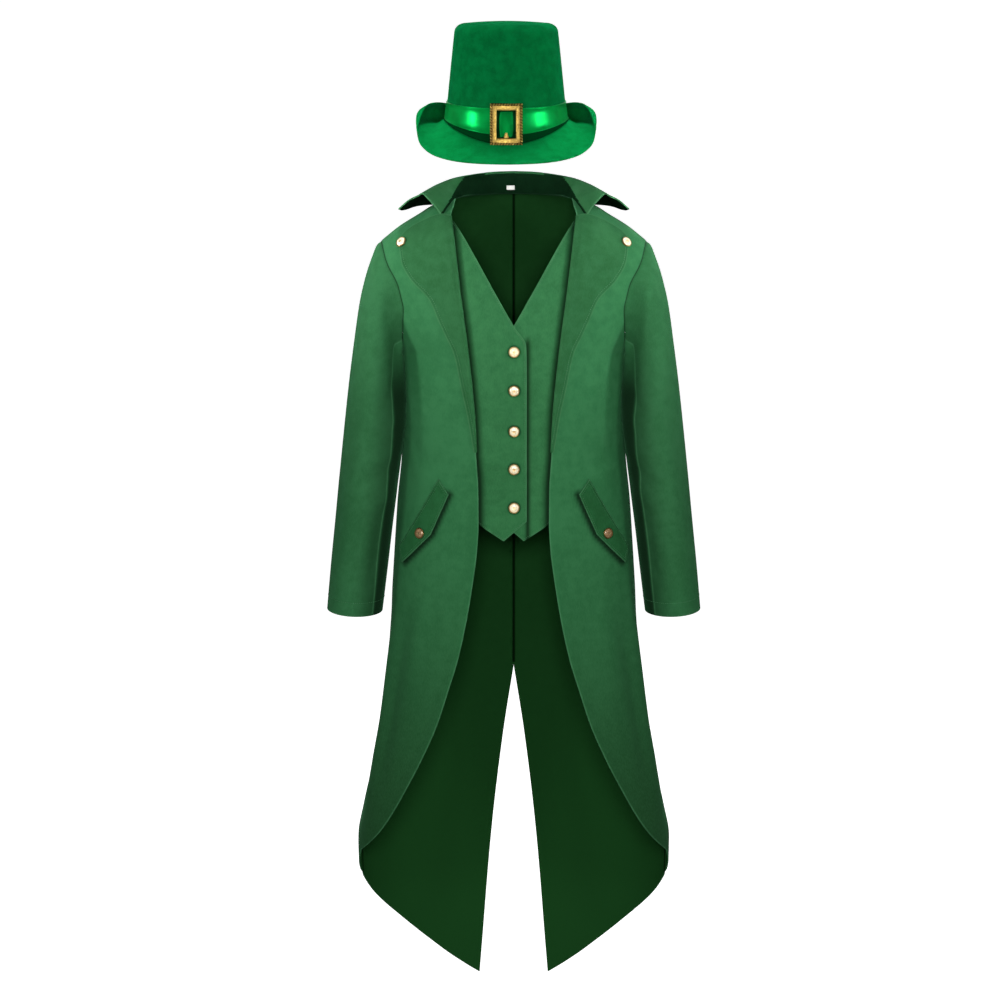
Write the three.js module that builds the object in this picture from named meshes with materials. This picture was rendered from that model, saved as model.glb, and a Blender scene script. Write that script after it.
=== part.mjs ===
// A green dress-up costume: a tailcoat with a mock waistcoat sewn inside its
// fronts, and a felt top hat with a ribbon and a buckle. The coat keeps the
// hollow form it has when it is worn, and the hat stands above its collar.
//
// Millimetres, +Z up. The front of the costume faces -Y. The origin is in the
// middle of the neck at the height of the shoulders, where the wearer holds
// the coat up. "left" and "right" are the wearer's: the left side is +X.

import * as THREE from "three";
import { mergeVertices } from "three/addons/utils/BufferGeometryUtils.js";

// Driving dimensions
const SEAM = 0.4; // gap between two pieces that are sewn together
const SLEEVE_SEAM = 1.6; // the same round the armhole, whose two edges are faceted apart
const ARMPIT_EASE = 3; // how far the sleeve stands off the coat under the arm
const REST = 0.8; // gap between a piece and the panel that it lies on
const COAT_CLOTH = 2;
const VEST_CLOTH = 1.6;
const VEST_LIFT = -COAT_CLOTH - 1.2; // its outer face, below the coat front's
const LAPEL_CLOTH = 2.2;
const LAPEL_LIFT = LAPEL_CLOTH + 1.1; // its outer face, above the front's
const FLAP_CLOTH = 2;
const SLEEVE_CLOTH = 1.8;
const COLLAR_CLOTH = 2.4;
const FELT = 2.6;
const RIBBON = 1.2;

const ARMPIT = -222; // height of the lowest point of the armholes
const SKIRT = -700; // height from which the skirt rows follow the hem
const SIDE_SEAM = 100; // degrees round from the middle of the front
const NECK_HALF_WIDTH = 93;
const NECK_DEPTH = 75; // how far back the neck seam reaches
const VENT_TOP = -727;

const BUTTON_RADIUS = 8.8;
const BUTTON_HEIGHT = 5;

// The body of the coat, as ellipses on each height. Above the shoulders'
// springing the height goes on along the curve over the shoulder.
const BODY = [
  { height: 100, halfWidth: 240, front: 112, back: 100 },
  { height: -60, halfWidth: 238, front: 116, back: 108 },
  { height: -100, halfWidth: 231, front: 118, back: 112 },
  { height: -139, halfWidth: 221, front: 119, back: 113 },
  { height: -171, halfWidth: 209, front: 119, back: 112 },
  { height: -211, halfWidth: 186, front: 118, back: 110 },
  { height: ARMPIT, halfWidth: 181, front: 118, back: 109 },
  { height: -300, halfWidth: 179, front: 112, back: 104 },
  { height: -372, halfWidth: 178.5, front: 108, back: 98 },
  { height: -463, halfWidth: 186, front: 108, back: 97 },
  { height: -527, halfWidth: 190, front: 110, back: 100 },
  { height: -595, halfWidth: 194, front: 113, back: 105 },
  { height: -663, halfWidth: 198, front: 116, back: 112 },
  { height: -731, halfWidth: 204, front: 120, back: 120 },
  { height: -808, halfWidth: 213, front: 125, back: 127 },
  { height: -881, halfWidth: 227, front: 131, back: 133 },
  { height: -957, halfWidth: 242, front: 138, back: 138 },
  { height: -1002, halfWidth: 249, front: 142, back: 141 },
  { height: -1060, halfWidth: 248, front: 144, back: 143 },
  { height: -1250, halfWidth: 240, front: 146, back: 146 },
];

// The shoulder seam: its height, and the radius of the turn over it.
const SHOULDER = [
  { x: 0, height: 24, radius: 95 },
  { x: 93, height: 24, radius: 95 },
  { x: 110, height: 19, radius: 95 },
  { x: 131, height: 11, radius: 92 },
  { x: 150, height: -1, radius: 88 },
  { x: 182, height: -21, radius: 77 },
  { x: 206, height: -40, radius: 68 },
  { x: 220, height: -51, radius: 64 },
];

// The armhole's front edge, in degrees round the body, from the armpit (0)
// to the shoulder seam (1). The back edge mirrors it.
const ARMHOLE = [
  { rise: 0, turn: 90 },
  { rise: 0.045, turn: 75 },
  { rise: 0.12, turn: 65 },
  { rise: 0.206, turn: 58.5 },
  { rise: 0.335, turn: 54 },
  { rise: 0.44, turn: 54.2 },
  { rise: 0.64, turn: 59 },
  { rise: 0.805, turn: 61.6 },
  { rise: 1, turn: 63.4 },
];

// The free edge of each front: neck, roll of the lapel, button stand, and the
// cutaway down to the side.
const FRONT_EDGE = [
  { height: 77, x: 93 },
  { height: 45, x: 95.6 },
  { height: 12, x: 101 },
  { height: -4, x: 99.5 },
  { height: -56, x: 94 },
  { height: -123, x: 86 },
  { height: -190, x: 77 },
  { height: -259, x: 69 },
  { height: -320, x: 63.5 },
  { height: -377, x: 60.5 },
  { height: -432, x: 56.5 },
  { height: -490, x: 56 },
  { height: -533, x: 58.5 },
  { height: -576, x: 64 },
  { height: -649, x: 76 },
  { height: -708, x: 89 },
  { height: -754, x: 103 },
  { height: -813, x: 122 },
  { height: -864, x: 144 },
  { height: -910, x: 167 },
  { height: -963, x: 197 },
  { height: -992, x: 217 },
  { height: -1024, x: 245 },
];

// The hem from the cutaway round to the tip of each tail.
const HEM = [
  { turn: 60, height: -980 },
  { turn: 80, height: -1024 },
  { turn: 90, height: -1043 },
  { turn: 100, height: -1062 },
  { turn: 115, height: -1098 },
  { turn: 130.5, height: -1137 },
  { turn: 144.5, height: -1177 },
  { turn: 156.3, height: -1211 },
  { turn: 168, height: -1240 },
  { turn: 180, height: -1262 },
];

// The vent between the tails, as the distance of its edges from the middle.
const VENT = [
  { height: VENT_TOP, x: 0.2 },
  { height: -850, x: 18 },
  { height: -1005, x: 36 },
  { height: -1240, x: 56 },
];

const LAPEL_TOP = [
  { along: 0, x: 103, height: 13 },
  { along: 0.2, x: 118, height: 14.5 },
  { along: 0.5, x: 142, height: 9 },
  { along: 0.82, x: 168, height: -8 },
  { along: 1, x: 182.4, height: -29 },
];

const LAPEL_EDGE = [
  { along: 0, x: 182.4, height: -29 },
  { along: 0.11, x: 178, height: -70 },
  { along: 0.2, x: 165, height: -95 },
  { along: 0.33, x: 133, height: -130 },
  { along: 0.42, x: 120, height: -160 },
  { along: 0.5, x: 108.8, height: -184 },
  { along: 0.58, x: 95, height: -214 },
  { along: 0.72, x: 83.7, height: -267 },
  { along: 0.86, x: 72.5, height: -320 },
  { along: 1, x: 63.5, height: -373 },
];

// The waistcoat front that laps over the other one. x is positive towards its
// own side, so that the lap past the middle is negative.
const VEST_EDGE = [
  { height: 10, x: 99 },
  { height: -171, x: -1.6 },
  { height: -200, x: -19.8 },
  { height: -230, x: -20.8 },
  { height: -484, x: -20.8 },
];
const VEST_HEM = [
  { x: -20.8, height: -484 },
  { x: 16.3, height: -515.5 },
  { x: 51.5, height: -493 },
  { x: 100, height: -462 },
];
const VEST = {
  hiddenAtNeck: 9, // width that is sewn in behind each coat front, at the neck
  hidden: 34, // and lower down
  widening: 60, // over which length it grows from one to the other
  hemFrom: -330, // height from which the rows follow the hem
  underlap: 2.2, // how much deeper the under front lies at the lap
  lapEnd: 22, // how far from the middle it starts to come up again
  lapClear: 58, // and where it is as high as the other one
};

// The pocket flap's seam runs from inner to outer, its free edge has a point.
const FLAP = {
  innerSeam: { x: 119.5, height: -418 },
  outerSeam: { x: 182.5, height: -531 },
  innerEdge: { x: 102, height: -442 },
  point: { x: 130, height: -508 },
  outerEdge: { x: 174, height: -557 },
};

// Each row is one section of the sleeve, from the shoulder to the cuff.
const SLEEVE = [
  { outerX: 223.5, outerZ: -72, innerX: 183, innerZ: -238, depth: 71, middle: -3 },
  { outerX: 231.5, outerZ: -104, innerX: 183.2, innerZ: -252, depth: 72, middle: -6 },
  { outerX: 239, outerZ: -142, innerX: 182.2, innerZ: -272, depth: 71, middle: -11 },
  { outerX: 248, outerZ: -207, innerX: 180.2, innerZ: -304, depth: 69, middle: -17 },
  { outerX: 256, outerZ: -270, innerX: 178.6, innerZ: -340, depth: 66, middle: -22 },
  { outerX: 264, outerZ: -340, innerX: 179.4, innerZ: -380, depth: 63, middle: -26 },
  { outerX: 272, outerZ: -410, innerX: 185.5, innerZ: -436, depth: 61, middle: -28 },
  { outerX: 280, outerZ: -485, innerX: 193.5, innerZ: -500, depth: 57, middle: -30 },
  { outerX: 288.5, outerZ: -562, innerX: 201.5, innerZ: -568, depth: 53, middle: -34 },
  { outerX: 296.5, outerZ: -632, innerX: 209.5, innerZ: -634, depth: 50, middle: -38 },
];
const SLEEVE_FRONT_SEAM = 0.12; // rise on the armhole where each seam starts
const SLEEVE_BACK_SEAM = 0.206;
const CUFF_DROP = 7; // how much lower the cuff is at the front

// The collar from its front end (0) to the middle of the back (1): where it
// is sewn on, the crest of its fold, and its free edge.
const COLLAR = [
  { along: 0, seam: [117, -57, 2.6], crest: [145, -45, 35.5], edge: [183, -42, 9] },
  { along: 0.15, seam: [105, -30, 17.6], crest: [132, -22, 40.5], edge: [178, -6, 4] },
  { along: 0.33, seam: [95, 0, 24.5], crest: [118, 4, 45], edge: [164, 36, 3] },
  { along: 0.55, seam: [83, 37, 24.5], crest: [94, 40, 50], edge: [128, 82, 3] },
  { along: 0.78, seam: [47, 66, 24.5], crest: [54, 69, 54], edge: [74, 110, 5] },
  { along: 0.9, seam: [24, 74.6, 24.5], crest: [28, 80.5, 55.5], edge: [39, 119, 6.5] },
  { along: 1, seam: [0, 77, 24.5], crest: [0, 84, 56], edge: [0, 122, 7] },
];
const COLLAR_ROLL = 4; // how far from its crest the fold is round
const COLLAR_SWELL = 2.5; // how far the middle of the fall stands up

// The hat stands on the level of the wearer's brow.
const HAT = { x: -12, y: 0, z: 126 };
const CROWN = {
  height: 186,
  baseWidth: 97.6,
  baseDepth: 112,
  topWidth: 80,
  topDepth: 92,
  rounding: 11,
  slope: 0.08, // how much the top falls away to the back, for each millimetre
};
const JUNCTION = { front: -3.4, side: 24, fade: 50 }; // where brim and crown meet
const HAT_SEGMENTS = 32;
const BAND = { low: 16, high: 56 };

// The brim's section from the crown out to its edge: how far out and how far
// up each point lies, at the front and at the rolled sides.
const BRIM = [
  { frontOut: 0, frontUp: 0, sideOut: 0, sideUp: 0 },
  { frontOut: 13, frontUp: -6, sideOut: 16, sideUp: -12 },
  { frontOut: 27, frontUp: -13, sideOut: 31, sideUp: -12.5 },
  { frontOut: 40, frontUp: -18, sideOut: 41.5, sideUp: -2 },
  { frontOut: 50, frontUp: -21.5, sideOut: 41, sideUp: 12 },
  { frontOut: 58, frontUp: -23, sideOut: 29, sideUp: 22 },
];
// How far the brim takes its rolled section, by degrees round from the front.
const BRIM_ROLL = [
  { turn: 0, share: 0 },
  { turn: 45, share: 0.03 },
  { turn: 59, share: 0.11 },
  { turn: 69, share: 0.28 },
  { turn: 77, share: 0.5 },
  { turn: 85, share: 0.72 },
  { turn: 95, share: 0.92 },
  { turn: 108, share: 1 },
  { turn: 135, share: 0.95 },
  { turn: 155, share: 0.6 },
  { turn: 180, share: 0.3 },
];
const BRIM_FULL = { out: 5, down: 7 }; // how much fuller it is between front and side
const TAB = { width: 22, height: 40, thickness: 1.4 };
const PRONG = { foot: 8, tip: 4, height: 9, thickness: 1.2 };
const BUCKLE = { level: 32, width: 52, height: 66, windowWidth: 30, windowHeight: 44, thickness: 2.6 };

// Materials
const cloth = (color, roughness = 0.9) =>
  new THREE.MeshStandardMaterial({ color, roughness, metalness: 0, side: THREE.DoubleSide });
const coatGreen = cloth(0x346b44);
const lapelGreen = cloth(0x2a6137);
const vestGreen = cloth(0x326a3f);
const flapGreen = cloth(0x215830);
const labelWhite = cloth(0xe9e9e4);
const feltGreen = cloth(0x046437, 0.95);
const ribbonGreen = cloth(0x01993e, 0.35);
const brass = new THREE.MeshStandardMaterial({ color: 0xa88a4c, roughness: 0.35, metalness: 1 });

const SIDES = [
  { name: "right", sign: -1 },
  { name: "left", sign: 1 },
];

const radians = THREE.MathUtils.degToRad;
const mix = THREE.MathUtils.lerp;
const steps = (count) => Array.from({ length: count + 1 }, (_, i) => i / count);

// A smooth curve through one column of a table, that never overshoots a row.
function curve(table, key, column) {
  const points = table.map((row) => ({ x: row[key], y: row[column] })).sort((a, b) => a.x - b.x);
  const last = points.length - 1;
  const rise = points.slice(1).map((p, i) => (p.y - points[i].y) / (p.x - points[i].x));
  const slope = points.map((_, i) => {
    if (i === 0) return rise[0];
    if (i === last) return rise[last - 1];
    return rise[i - 1] * rise[i] <= 0 ? 0 : 2 / (1 / rise[i - 1] + 1 / rise[i]);
  });
  return (x) => {
    let i = 0;
    while (i < last - 1 && x > points[i + 1].x) i += 1;
    const span = points[i + 1].x - points[i].x;
    const t = THREE.MathUtils.clamp((x - points[i].x) / span, 0, 1);
    const ease = t * t * (3 - 2 * t);
    const leave = t * (1 - t) * (1 - t) * span;
    const arrive = t * t * (t - 1) * span;
    return mix(points[i].y, points[i + 1].y, ease) + slope[i] * leave + slope[i + 1] * arrive;
  };
}

const halfWidthAt = curve(BODY, "height", "halfWidth");
const frontAt = curve(BODY, "height", "front");
const backAt = curve(BODY, "height", "back");
const shoulderAt = curve(SHOULDER, "x", "height");
const shoulderRadiusAt = curve(SHOULDER, "x", "radius");
const armholeAt = curve(ARMHOLE, "rise", "turn");
const frontEdgeAt = curve(FRONT_EDGE, "height", "x");
const hemAt = curve(HEM, "turn", "height");
const ventAt = curve(VENT, "height", "x");

// How far back the neck seam lies behind the shoulder seam.
function neckDepthAt(x) {
  return x < NECK_HALF_WIDTH ? NECK_DEPTH * Math.pow(1 - (x / NECK_HALF_WIDTH) ** 2, 0.6) : 0;
}

// The height at which the shoulder seam lies, measured along the cloth.
function topAt(x) {
  return shoulderAt(x) + shoulderRadiusAt(x) * (Math.PI / 2 - 1);
}

// A point of the coat's outer face. turn is in radians from the middle of the
// front, and height is measured along the cloth once it turns over a shoulder.
function bodyPoint(turn, height) {
  const x = halfWidthAt(height) * Math.sin(turn);
  const radius = shoulderRadiusAt(Math.abs(x));
  const springing = shoulderAt(Math.abs(x)) - radius;
  const over = THREE.MathUtils.clamp((height - springing) / radius, 0, Math.PI / 2);
  const behind = Math.cos(turn) < 0;
  const depth = -Math.cos(turn) * (behind ? backAt(height) : frontAt(height));
  const neck = behind ? neckDepthAt(Math.abs(x)) : 0;
  const z = height > springing ? springing + radius * Math.sin(over) : height;
  return new THREE.Vector3(x, neck + (depth - neck) * Math.cos(over), z);
}

// The same point with the direction that faces out of the cloth.
function bodyKnot(turn, height) {
  const small = 0.002;
  const at = bodyPoint(turn, height);
  const round = bodyPoint(turn + small, height).sub(bodyPoint(turn - small, height));
  const up = bodyPoint(turn, height + 0.2).sub(bodyPoint(turn, height - 0.2));
  return { at, out: round.cross(up).normalize() };
}

// turn for a point that is x to the side, on the front of the body.
function turnOf(x, height) {
  return Math.asin(THREE.MathUtils.clamp(x / halfWidthAt(height), -1, 1));
}

// A height between the armpit and the shoulder seam, given its share of the
// way, for a point at this turn.
function heightOf(turn, rise) {
  let height = ARMPIT;
  for (let pass = 0; pass < 6; pass += 1) {
    const x = halfWidthAt(height) * Math.sin(turn);
    height = ARMPIT + (topAt(x) - ARMPIT) * rise;
  }
  return height;
}

const moved = (knot, lift) => knot.at.clone().addScaledVector(knot.out, lift);

// A closed wall of cloth on a grid of knots. lift moves its outer face out of
// the knots. A grid that is closed joins its last column to its first.
function wall(grid, thickness, lift = 0, closed = false) {
  const rows = grid.length;
  const columns = grid[0].length;
  const spans = closed ? columns : columns - 1;
  const positions = [];
  for (const depth of [lift, lift - thickness]) {
    grid.forEach((row) => row.forEach((knot) => positions.push(...moved(knot, depth).toArray())));
  }
  const outer = (row, column) => row * columns + (column % columns);
  const inner = (row, column) => rows * columns + outer(row, column);
  const faces = [];
  const quad = (a, b, c, d) => faces.push(a, b, c, a, c, d);
  for (let row = 0; row < rows - 1; row += 1) {
    for (let column = 0; column < spans; column += 1) {
      quad(outer(row, column), outer(row, column + 1), outer(row + 1, column + 1), outer(row + 1, column));
      quad(inner(row, column), inner(row + 1, column), inner(row + 1, column + 1), inner(row, column + 1));
    }
  }
  for (let column = 0; column < spans; column += 1) {
    const end = rows - 1;
    quad(outer(0, column + 1), outer(0, column), inner(0, column), inner(0, column + 1));
    quad(outer(end, column), outer(end, column + 1), inner(end, column + 1), inner(end, column));
  }
  for (let row = 0; row < rows - 1 && !closed; row += 1) {
    const end = columns - 1;
    quad(outer(row, 0), outer(row + 1, 0), inner(row + 1, 0), inner(row, 0));
    quad(outer(row + 1, end), outer(row, end), inner(row, end), inner(row + 1, end));
  }
  return facingOut(positions, faces);
}

// Six times the volume that the faces enclose, negative when they point in.
function enclosed(positions, faces) {
  const corner = (i) => new THREE.Vector3().fromArray(positions, 3 * faces[i]);
  let sum = 0;
  for (let i = 0; i < faces.length; i += 3) {
    sum += corner(i).dot(corner(i + 1).cross(corner(i + 2)));
  }
  return sum;
}

function facingOut(positions, faces) {
  const geometry = new THREE.BufferGeometry();
  geometry.setAttribute("position", new THREE.Float32BufferAttribute(positions, 3));
  geometry.setIndex(enclosed(positions, faces) < 0 ? faces.slice().reverse() : faces);
  return geometry;
}

// The left side mirrored, for the right one.
function onSide(sign, grid) {
  const flip = (vector) => vector.clone().setX(vector.x * sign);
  return grid.map((row) => row.map((knot) => ({ at: flip(knot.at), out: flip(knot.out) })));
}

const group = new THREE.Group();

function add(name, geometry, material, parent = group) {
  const mesh = new THREE.Mesh(geometry, material);
  mesh.name = name;
  parent.add(mesh);
  return mesh;
}

// Coat fronts, from the hem up to the shoulder seam
const UPPER_ROWS = [0.045, 0.12, 0.206, 0.335, 0.44, 0.55, 0.64, 0.72, 0.783, 0.86, 0.93, 0.998];
const FRONT_ROWS = [
  -1054, -1040, -1024, -992, -963, -910, -864, -813, -754, -708, -649, -576, -533, -490,
  -432, -377, -320, -259, -222,
];
const FRONT_COLUMNS = 9;
const seamTurn = (sign) => radians(SIDE_SEAM) + (sign * SEAM) / 2 / backAt(ARMPIT);

function frontInnerTurn(height) {
  const cutawayEnd = FRONT_EDGE[FRONT_EDGE.length - 1].height;
  if (height > cutawayEnd) return turnOf(frontEdgeAt(height), height);
  const hem = HEM.filter((row) => row.turn >= 80 && row.turn <= 100);
  return radians(curve(hem, "height", "turn")(height));
}

function coatFront() {
  const skirt = FRONT_ROWS.map((height) => {
    const inner = frontInnerTurn(height);
    return steps(FRONT_COLUMNS).map((s) => bodyKnot(mix(inner, seamTurn(-1), s), height));
  });
  const chest = UPPER_ROWS.map((rise) => {
    let inner = heightOf(turnOf(NECK_HALF_WIDTH, 0), rise);
    for (let pass = 0; pass < 6; pass += 1) {
      inner = heightOf(turnOf(frontEdgeAt(inner), inner), rise);
    }
    const from = turnOf(frontEdgeAt(inner), inner);
    const to = radians(armholeAt(rise));
    return steps(FRONT_COLUMNS).map((s) => {
      const turn = mix(from, to, s);
      return bodyKnot(turn, heightOf(turn, rise));
    });
  });
  return [...skirt, ...chest];
}

// Coat backs, from the tails up to the neck and shoulder seams
const SKIRT_ROWS = [1, 0.92, 0.82, 0.7, 0.58, 0.46, 0.34, 0.24, 0.15, 0.07];
const BACK_ROWS = [-700, -640, -576, -510, -450, -377, -320, -270, -222];
const BACK_COLUMNS = 10;

function backSkirtRow(drop) {
  const at = (turn) => SKIRT + (hemAt(THREE.MathUtils.radToDeg(turn)) - SKIRT) * drop;
  let inner = Math.PI;
  for (let pass = 0; pass < 6; pass += 1) {
    const height = at(inner);
    const x = height < VENT_TOP ? ventAt(height) : SEAM / 2;
    inner = Math.PI - turnOf(x, height);
  }
  return steps(BACK_COLUMNS).map((s) => {
    const turn = mix(inner, seamTurn(1), s);
    return bodyKnot(turn, at(turn));
  });
}

function coatBack() {
  const skirt = SKIRT_ROWS.map(backSkirtRow);
  const middle = Math.PI - turnOf(SEAM / 2, 0);
  const waist = BACK_ROWS.map((height) =>
    steps(BACK_COLUMNS).map((s) => bodyKnot(mix(middle, seamTurn(1), s), height)),
  );
  const chest = UPPER_ROWS.map((rise) =>
    steps(BACK_COLUMNS).map((s) => {
      const turn = mix(middle, Math.PI - radians(armholeAt(rise)), s);
      return bodyKnot(turn, heightOf(Math.PI - turn, rise));
    }),
  );
  return [...skirt, ...waist, ...chest];
}

// Lapels, buttoned back on the chest
function lapel() {
  const topX = curve(LAPEL_TOP, "along", "x");
  const topHeight = curve(LAPEL_TOP, "along", "height");
  const edgeX = curve(LAPEL_EDGE, "along", "x");
  const edgeHeight = curve(LAPEL_EDGE, "along", "height");
  const foldTop = LAPEL_TOP[0].height;
  const foldEnd = LAPEL_EDGE[LAPEL_EDGE.length - 1].height;
  return steps(18).map((step) => {
    const t = step ** 1.5;
    const foldHeight = mix(foldTop, foldEnd, t);
    const foldX = frontEdgeAt(foldHeight) + SEAM;
    const fade = (1 - t) ** 4;
    return steps(6).map((s) => {
      const straightX = mix(topX(0), topX(1), s);
      const straightHeight = mix(topHeight(0), topHeight(1), s);
      const x = mix(foldX, edgeX(t), s) + fade * (topX(s) - straightX);
      const height = mix(foldHeight, edgeHeight(t), s) + fade * (topHeight(s) - straightHeight);
      return bodyKnot(turnOf(x, height), height);
    });
  });
}

// Mock waistcoat fronts, inside the coat
const VEST_ROWS = [
  8, -12, -32, -56, -85, -110, -135, -155, -171, -186, -200, -230, -265, -300, -335, -370,
  -405, -435, -462,
];

function vestFront() {
  const edgeAt = curve(VEST_EDGE, "height", "x");
  const hemLine = curve(VEST_HEM, "x", "height");
  const lowest = VEST_ROWS[VEST_ROWS.length - 1];
  const first = VEST_ROWS[0];
  return VEST_ROWS.map((row) => {
    const inner = edgeAt(row);
    const widened = Math.min(1, (first - row) / VEST.widening);
    const outer = frontEdgeAt(row) + mix(VEST.hiddenAtNeck, VEST.hidden, widened);
    const drop = THREE.MathUtils.smoothstep(-row, -VEST.hemFrom, -lowest);
    return steps(9).map((s) => {
      const x = mix(outer, inner, s);
      const height = row + drop * (hemLine(x) - lowest);
      return bodyKnot(turnOf(x, height), height);
    });
  });
}

function vestDepth(knot, under) {
  const lap = under ? 1 - THREE.MathUtils.smoothstep(knot.at.x, VEST.lapEnd, VEST.lapClear) : 0;
  return { at: moved(knot, -lap * VEST.underlap), out: knot.out };
}

// Pocket flaps
function pocketFlap() {
  const { innerSeam, outerSeam, innerEdge, point, outerEdge } = FLAP;
  const share = 0.42; // how far along the free edge its point lies
  return steps(4).map((t) =>
    steps(8).map((s) => {
      const seamX = mix(innerSeam.x, outerSeam.x, s);
      const seamHeight = mix(innerSeam.height, outerSeam.height, s);
      const [from, to, part] =
        s < share ? [innerEdge, point, s / share] : [point, outerEdge, (s - share) / (1 - share)];
      const x = mix(seamX, mix(from.x, to.x, part), t);
      const height = mix(seamHeight, mix(from.height, to.height, part), t);
      return bodyKnot(turnOf(x, height), height);
    }),
  );
}

// Sleeves, in two pieces as a tailor cuts them
// One edge of the armhole from the shoulder seam down to the armpit, with the
// length along it up to each knot.
function armholeLine(front) {
  const knots = steps(160).map((s) => {
    const rise = 0.998 * (1 - s);
    const turn = s === 1 ? radians(SIDE_SEAM) : radians(armholeAt(rise));
    return bodyKnot(front || s === 1 ? turn : Math.PI - turn, heightOf(turn, rise));
  });
  const lengths = [0];
  knots.slice(1).forEach((knot, i) => lengths.push(lengths[i] + knot.at.distanceTo(knots[i].at)));
  return { knots, lengths, total: lengths[knots.length - 1] };
}

const armhole = { front: armholeLine(true), back: armholeLine(false) };

// Degrees round the sleeve from its outside, positive to the front, at which
// a row of the coat meets the armhole.
function armholeTurn(front, rise) {
  const { lengths, total } = front ? armhole.front : armhole.back;
  const place = Math.round((1 - rise / 0.998) * (lengths.length - 1));
  return (front ? 180 : -180) * (lengths[place] / total);
}

function armholeEdge(degrees) {
  const wrapped = degrees > 180 ? degrees - 360 : degrees;
  const { knots, lengths, total } = wrapped >= 0 ? armhole.front : armhole.back;
  const target = (Math.abs(wrapped) / 180) * total;
  const next = THREE.MathUtils.clamp(lengths.findIndex((length) => length >= target), 1, knots.length - 1);
  const part = (target - lengths[next - 1]) / (lengths[next] - lengths[next - 1]);
  const [from, to] = [knots[next - 1], knots[next]];
  return { at: from.at.clone().lerp(to.at, part), out: from.out.clone().lerp(to.out, part).normalize() };
}

function sleeveRing(row, turn) {
  const across = (Math.cos(turn) + 1) / 2;
  return new THREE.Vector3(
    mix(row.innerX, row.outerX, across),
    row.middle - row.depth * Math.sin(turn),
    mix(row.innerZ, row.outerZ, across),
  );
}

function sleeveKnots(columns) {
  const turns = columns.map(radians);
  const small = 0.01;
  const rings = SLEEVE.map((row, i) => {
    const above = SLEEVE[Math.max(0, i - 1)];
    const below = SLEEVE[Math.min(SLEEVE.length - 1, i + 1)];
    return turns.map((turn) => {
      const at = sleeveRing(row, turn);
      const round = sleeveRing(row, turn + small).sub(sleeveRing(row, turn - small));
      const down = sleeveRing(below, turn).sub(sleeveRing(above, turn));
      const out = round.cross(down).normalize();
      if (i === SLEEVE.length - 1) at.z -= CUFF_DROP * Math.sin(turn);
      return { at, out };
    });
  });
  const head = columns.map((degrees, column) => {
    const edge = armholeEdge(degrees);
    const next = rings[0][column];
    const under = THREE.MathUtils.smoothstep(Math.min(Math.abs(degrees), 360 - degrees), 100, 160);
    const away = next.at.clone().sub(edge.at);
    away.addScaledVector(edge.out, -away.dot(edge.out)).normalize();
    const at = edge.at.clone().addScaledVector(away, SLEEVE_SEAM * (1 - under));
    at.addScaledVector(edge.out, ARMPIT_EASE * under);
    const out = edge.out.clone().lerp(next.out, under).normalize();
    return { at, out };
  });
  return [head, ...rings];
}

// The columns of the upper and the under sleeve, one at each row of the coat.
function sleeveColumns() {
  const frontSeam = armholeTurn(true, SLEEVE_FRONT_SEAM);
  const backSeam = armholeTurn(false, SLEEVE_BACK_SEAM);
  const rows = UPPER_ROWS.filter((rise) => rise < 0.9);
  const fronts = rows.map((rise) => armholeTurn(true, rise));
  const backs = rows.map((rise) => armholeTurn(false, rise));
  const all = [...backs, 0, ...fronts.slice().reverse()];
  const upper = all.filter((turn) => turn > backSeam + 1 && turn < frontSeam - 1);
  const below = [...fronts.filter((turn) => turn > frontSeam + 1).reverse(), 180];
  const behind = backs.filter((turn) => turn < backSeam - 1).map((turn) => turn + 360);
  const gap = 0.3; // degrees from each seam
  return [
    [backSeam + gap, ...upper, frontSeam - gap],
    [frontSeam + gap, ...below, ...behind, backSeam + 360 - gap],
  ];
}

// Where one line of the collar lies, given the way along it.
function collarLine(name) {
  const axes = [0, 1, 2].map((axis) => {
    const rows = COLLAR.map((row) => ({ along: row.along, value: row[name][axis] }));
    return curve(rows, "along", "value");
  });
  return (along) => new THREE.Vector3(...axes.map((at) => at(along)));
}

// Collar, one cut with a fold along its crest
function collarKnots() {
  const [seamAt, crestAt, edgeAt] = ["seam", "crest", "edge"].map(collarLine);
  const section = (along) => {
    const seam = seamAt(along);
    const crest = crestAt(along);
    const edge = edgeAt(along);
    const up = crest.clone().sub(seam).normalize();
    const down = edge.clone().sub(crest).normalize();
    const inside = crest.clone().addScaledVector(up, -COLLAR_ROLL);
    const outside = crest.clone().addScaledVector(down, COLLAR_ROLL);
    const middle = inside.clone().lerp(outside, 0.5).lerp(crest, 0.55);
    const fall = outside.clone().lerp(edge, 0.5).setZ(mix(outside.z, edge.z, 0.5) + COLLAR_SWELL);
    return [seam, seam.clone().lerp(inside, 0.5), inside, middle, outside, fall, edge];
  };
  const half = steps(10);
  const right = half.map((along) => section(along).map((p) => p.setX(-p.x)));
  const left = half.slice(0, -1).reverse().map(section);
  return gridKnots([...right, ...left]);
}

// Knots for a grid of plain points, with directions from their neighbours.
function gridKnots(lines, closed = false) {
  const rows = lines.length;
  const near = (i, count) => (closed ? (i + count) % count : THREE.MathUtils.clamp(i, 0, count - 1));
  return lines.map((line, i) =>
    line.map((at, j) => {
      const along = lines[near(i + 1, rows)][j].clone().sub(lines[near(i - 1, rows)][j]);
      const across = line[Math.min(line.length - 1, j + 1)].clone().sub(line[Math.max(0, j - 1)]);
      return { at, out: across.cross(along).normalize() };
    }),
  );
}

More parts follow.
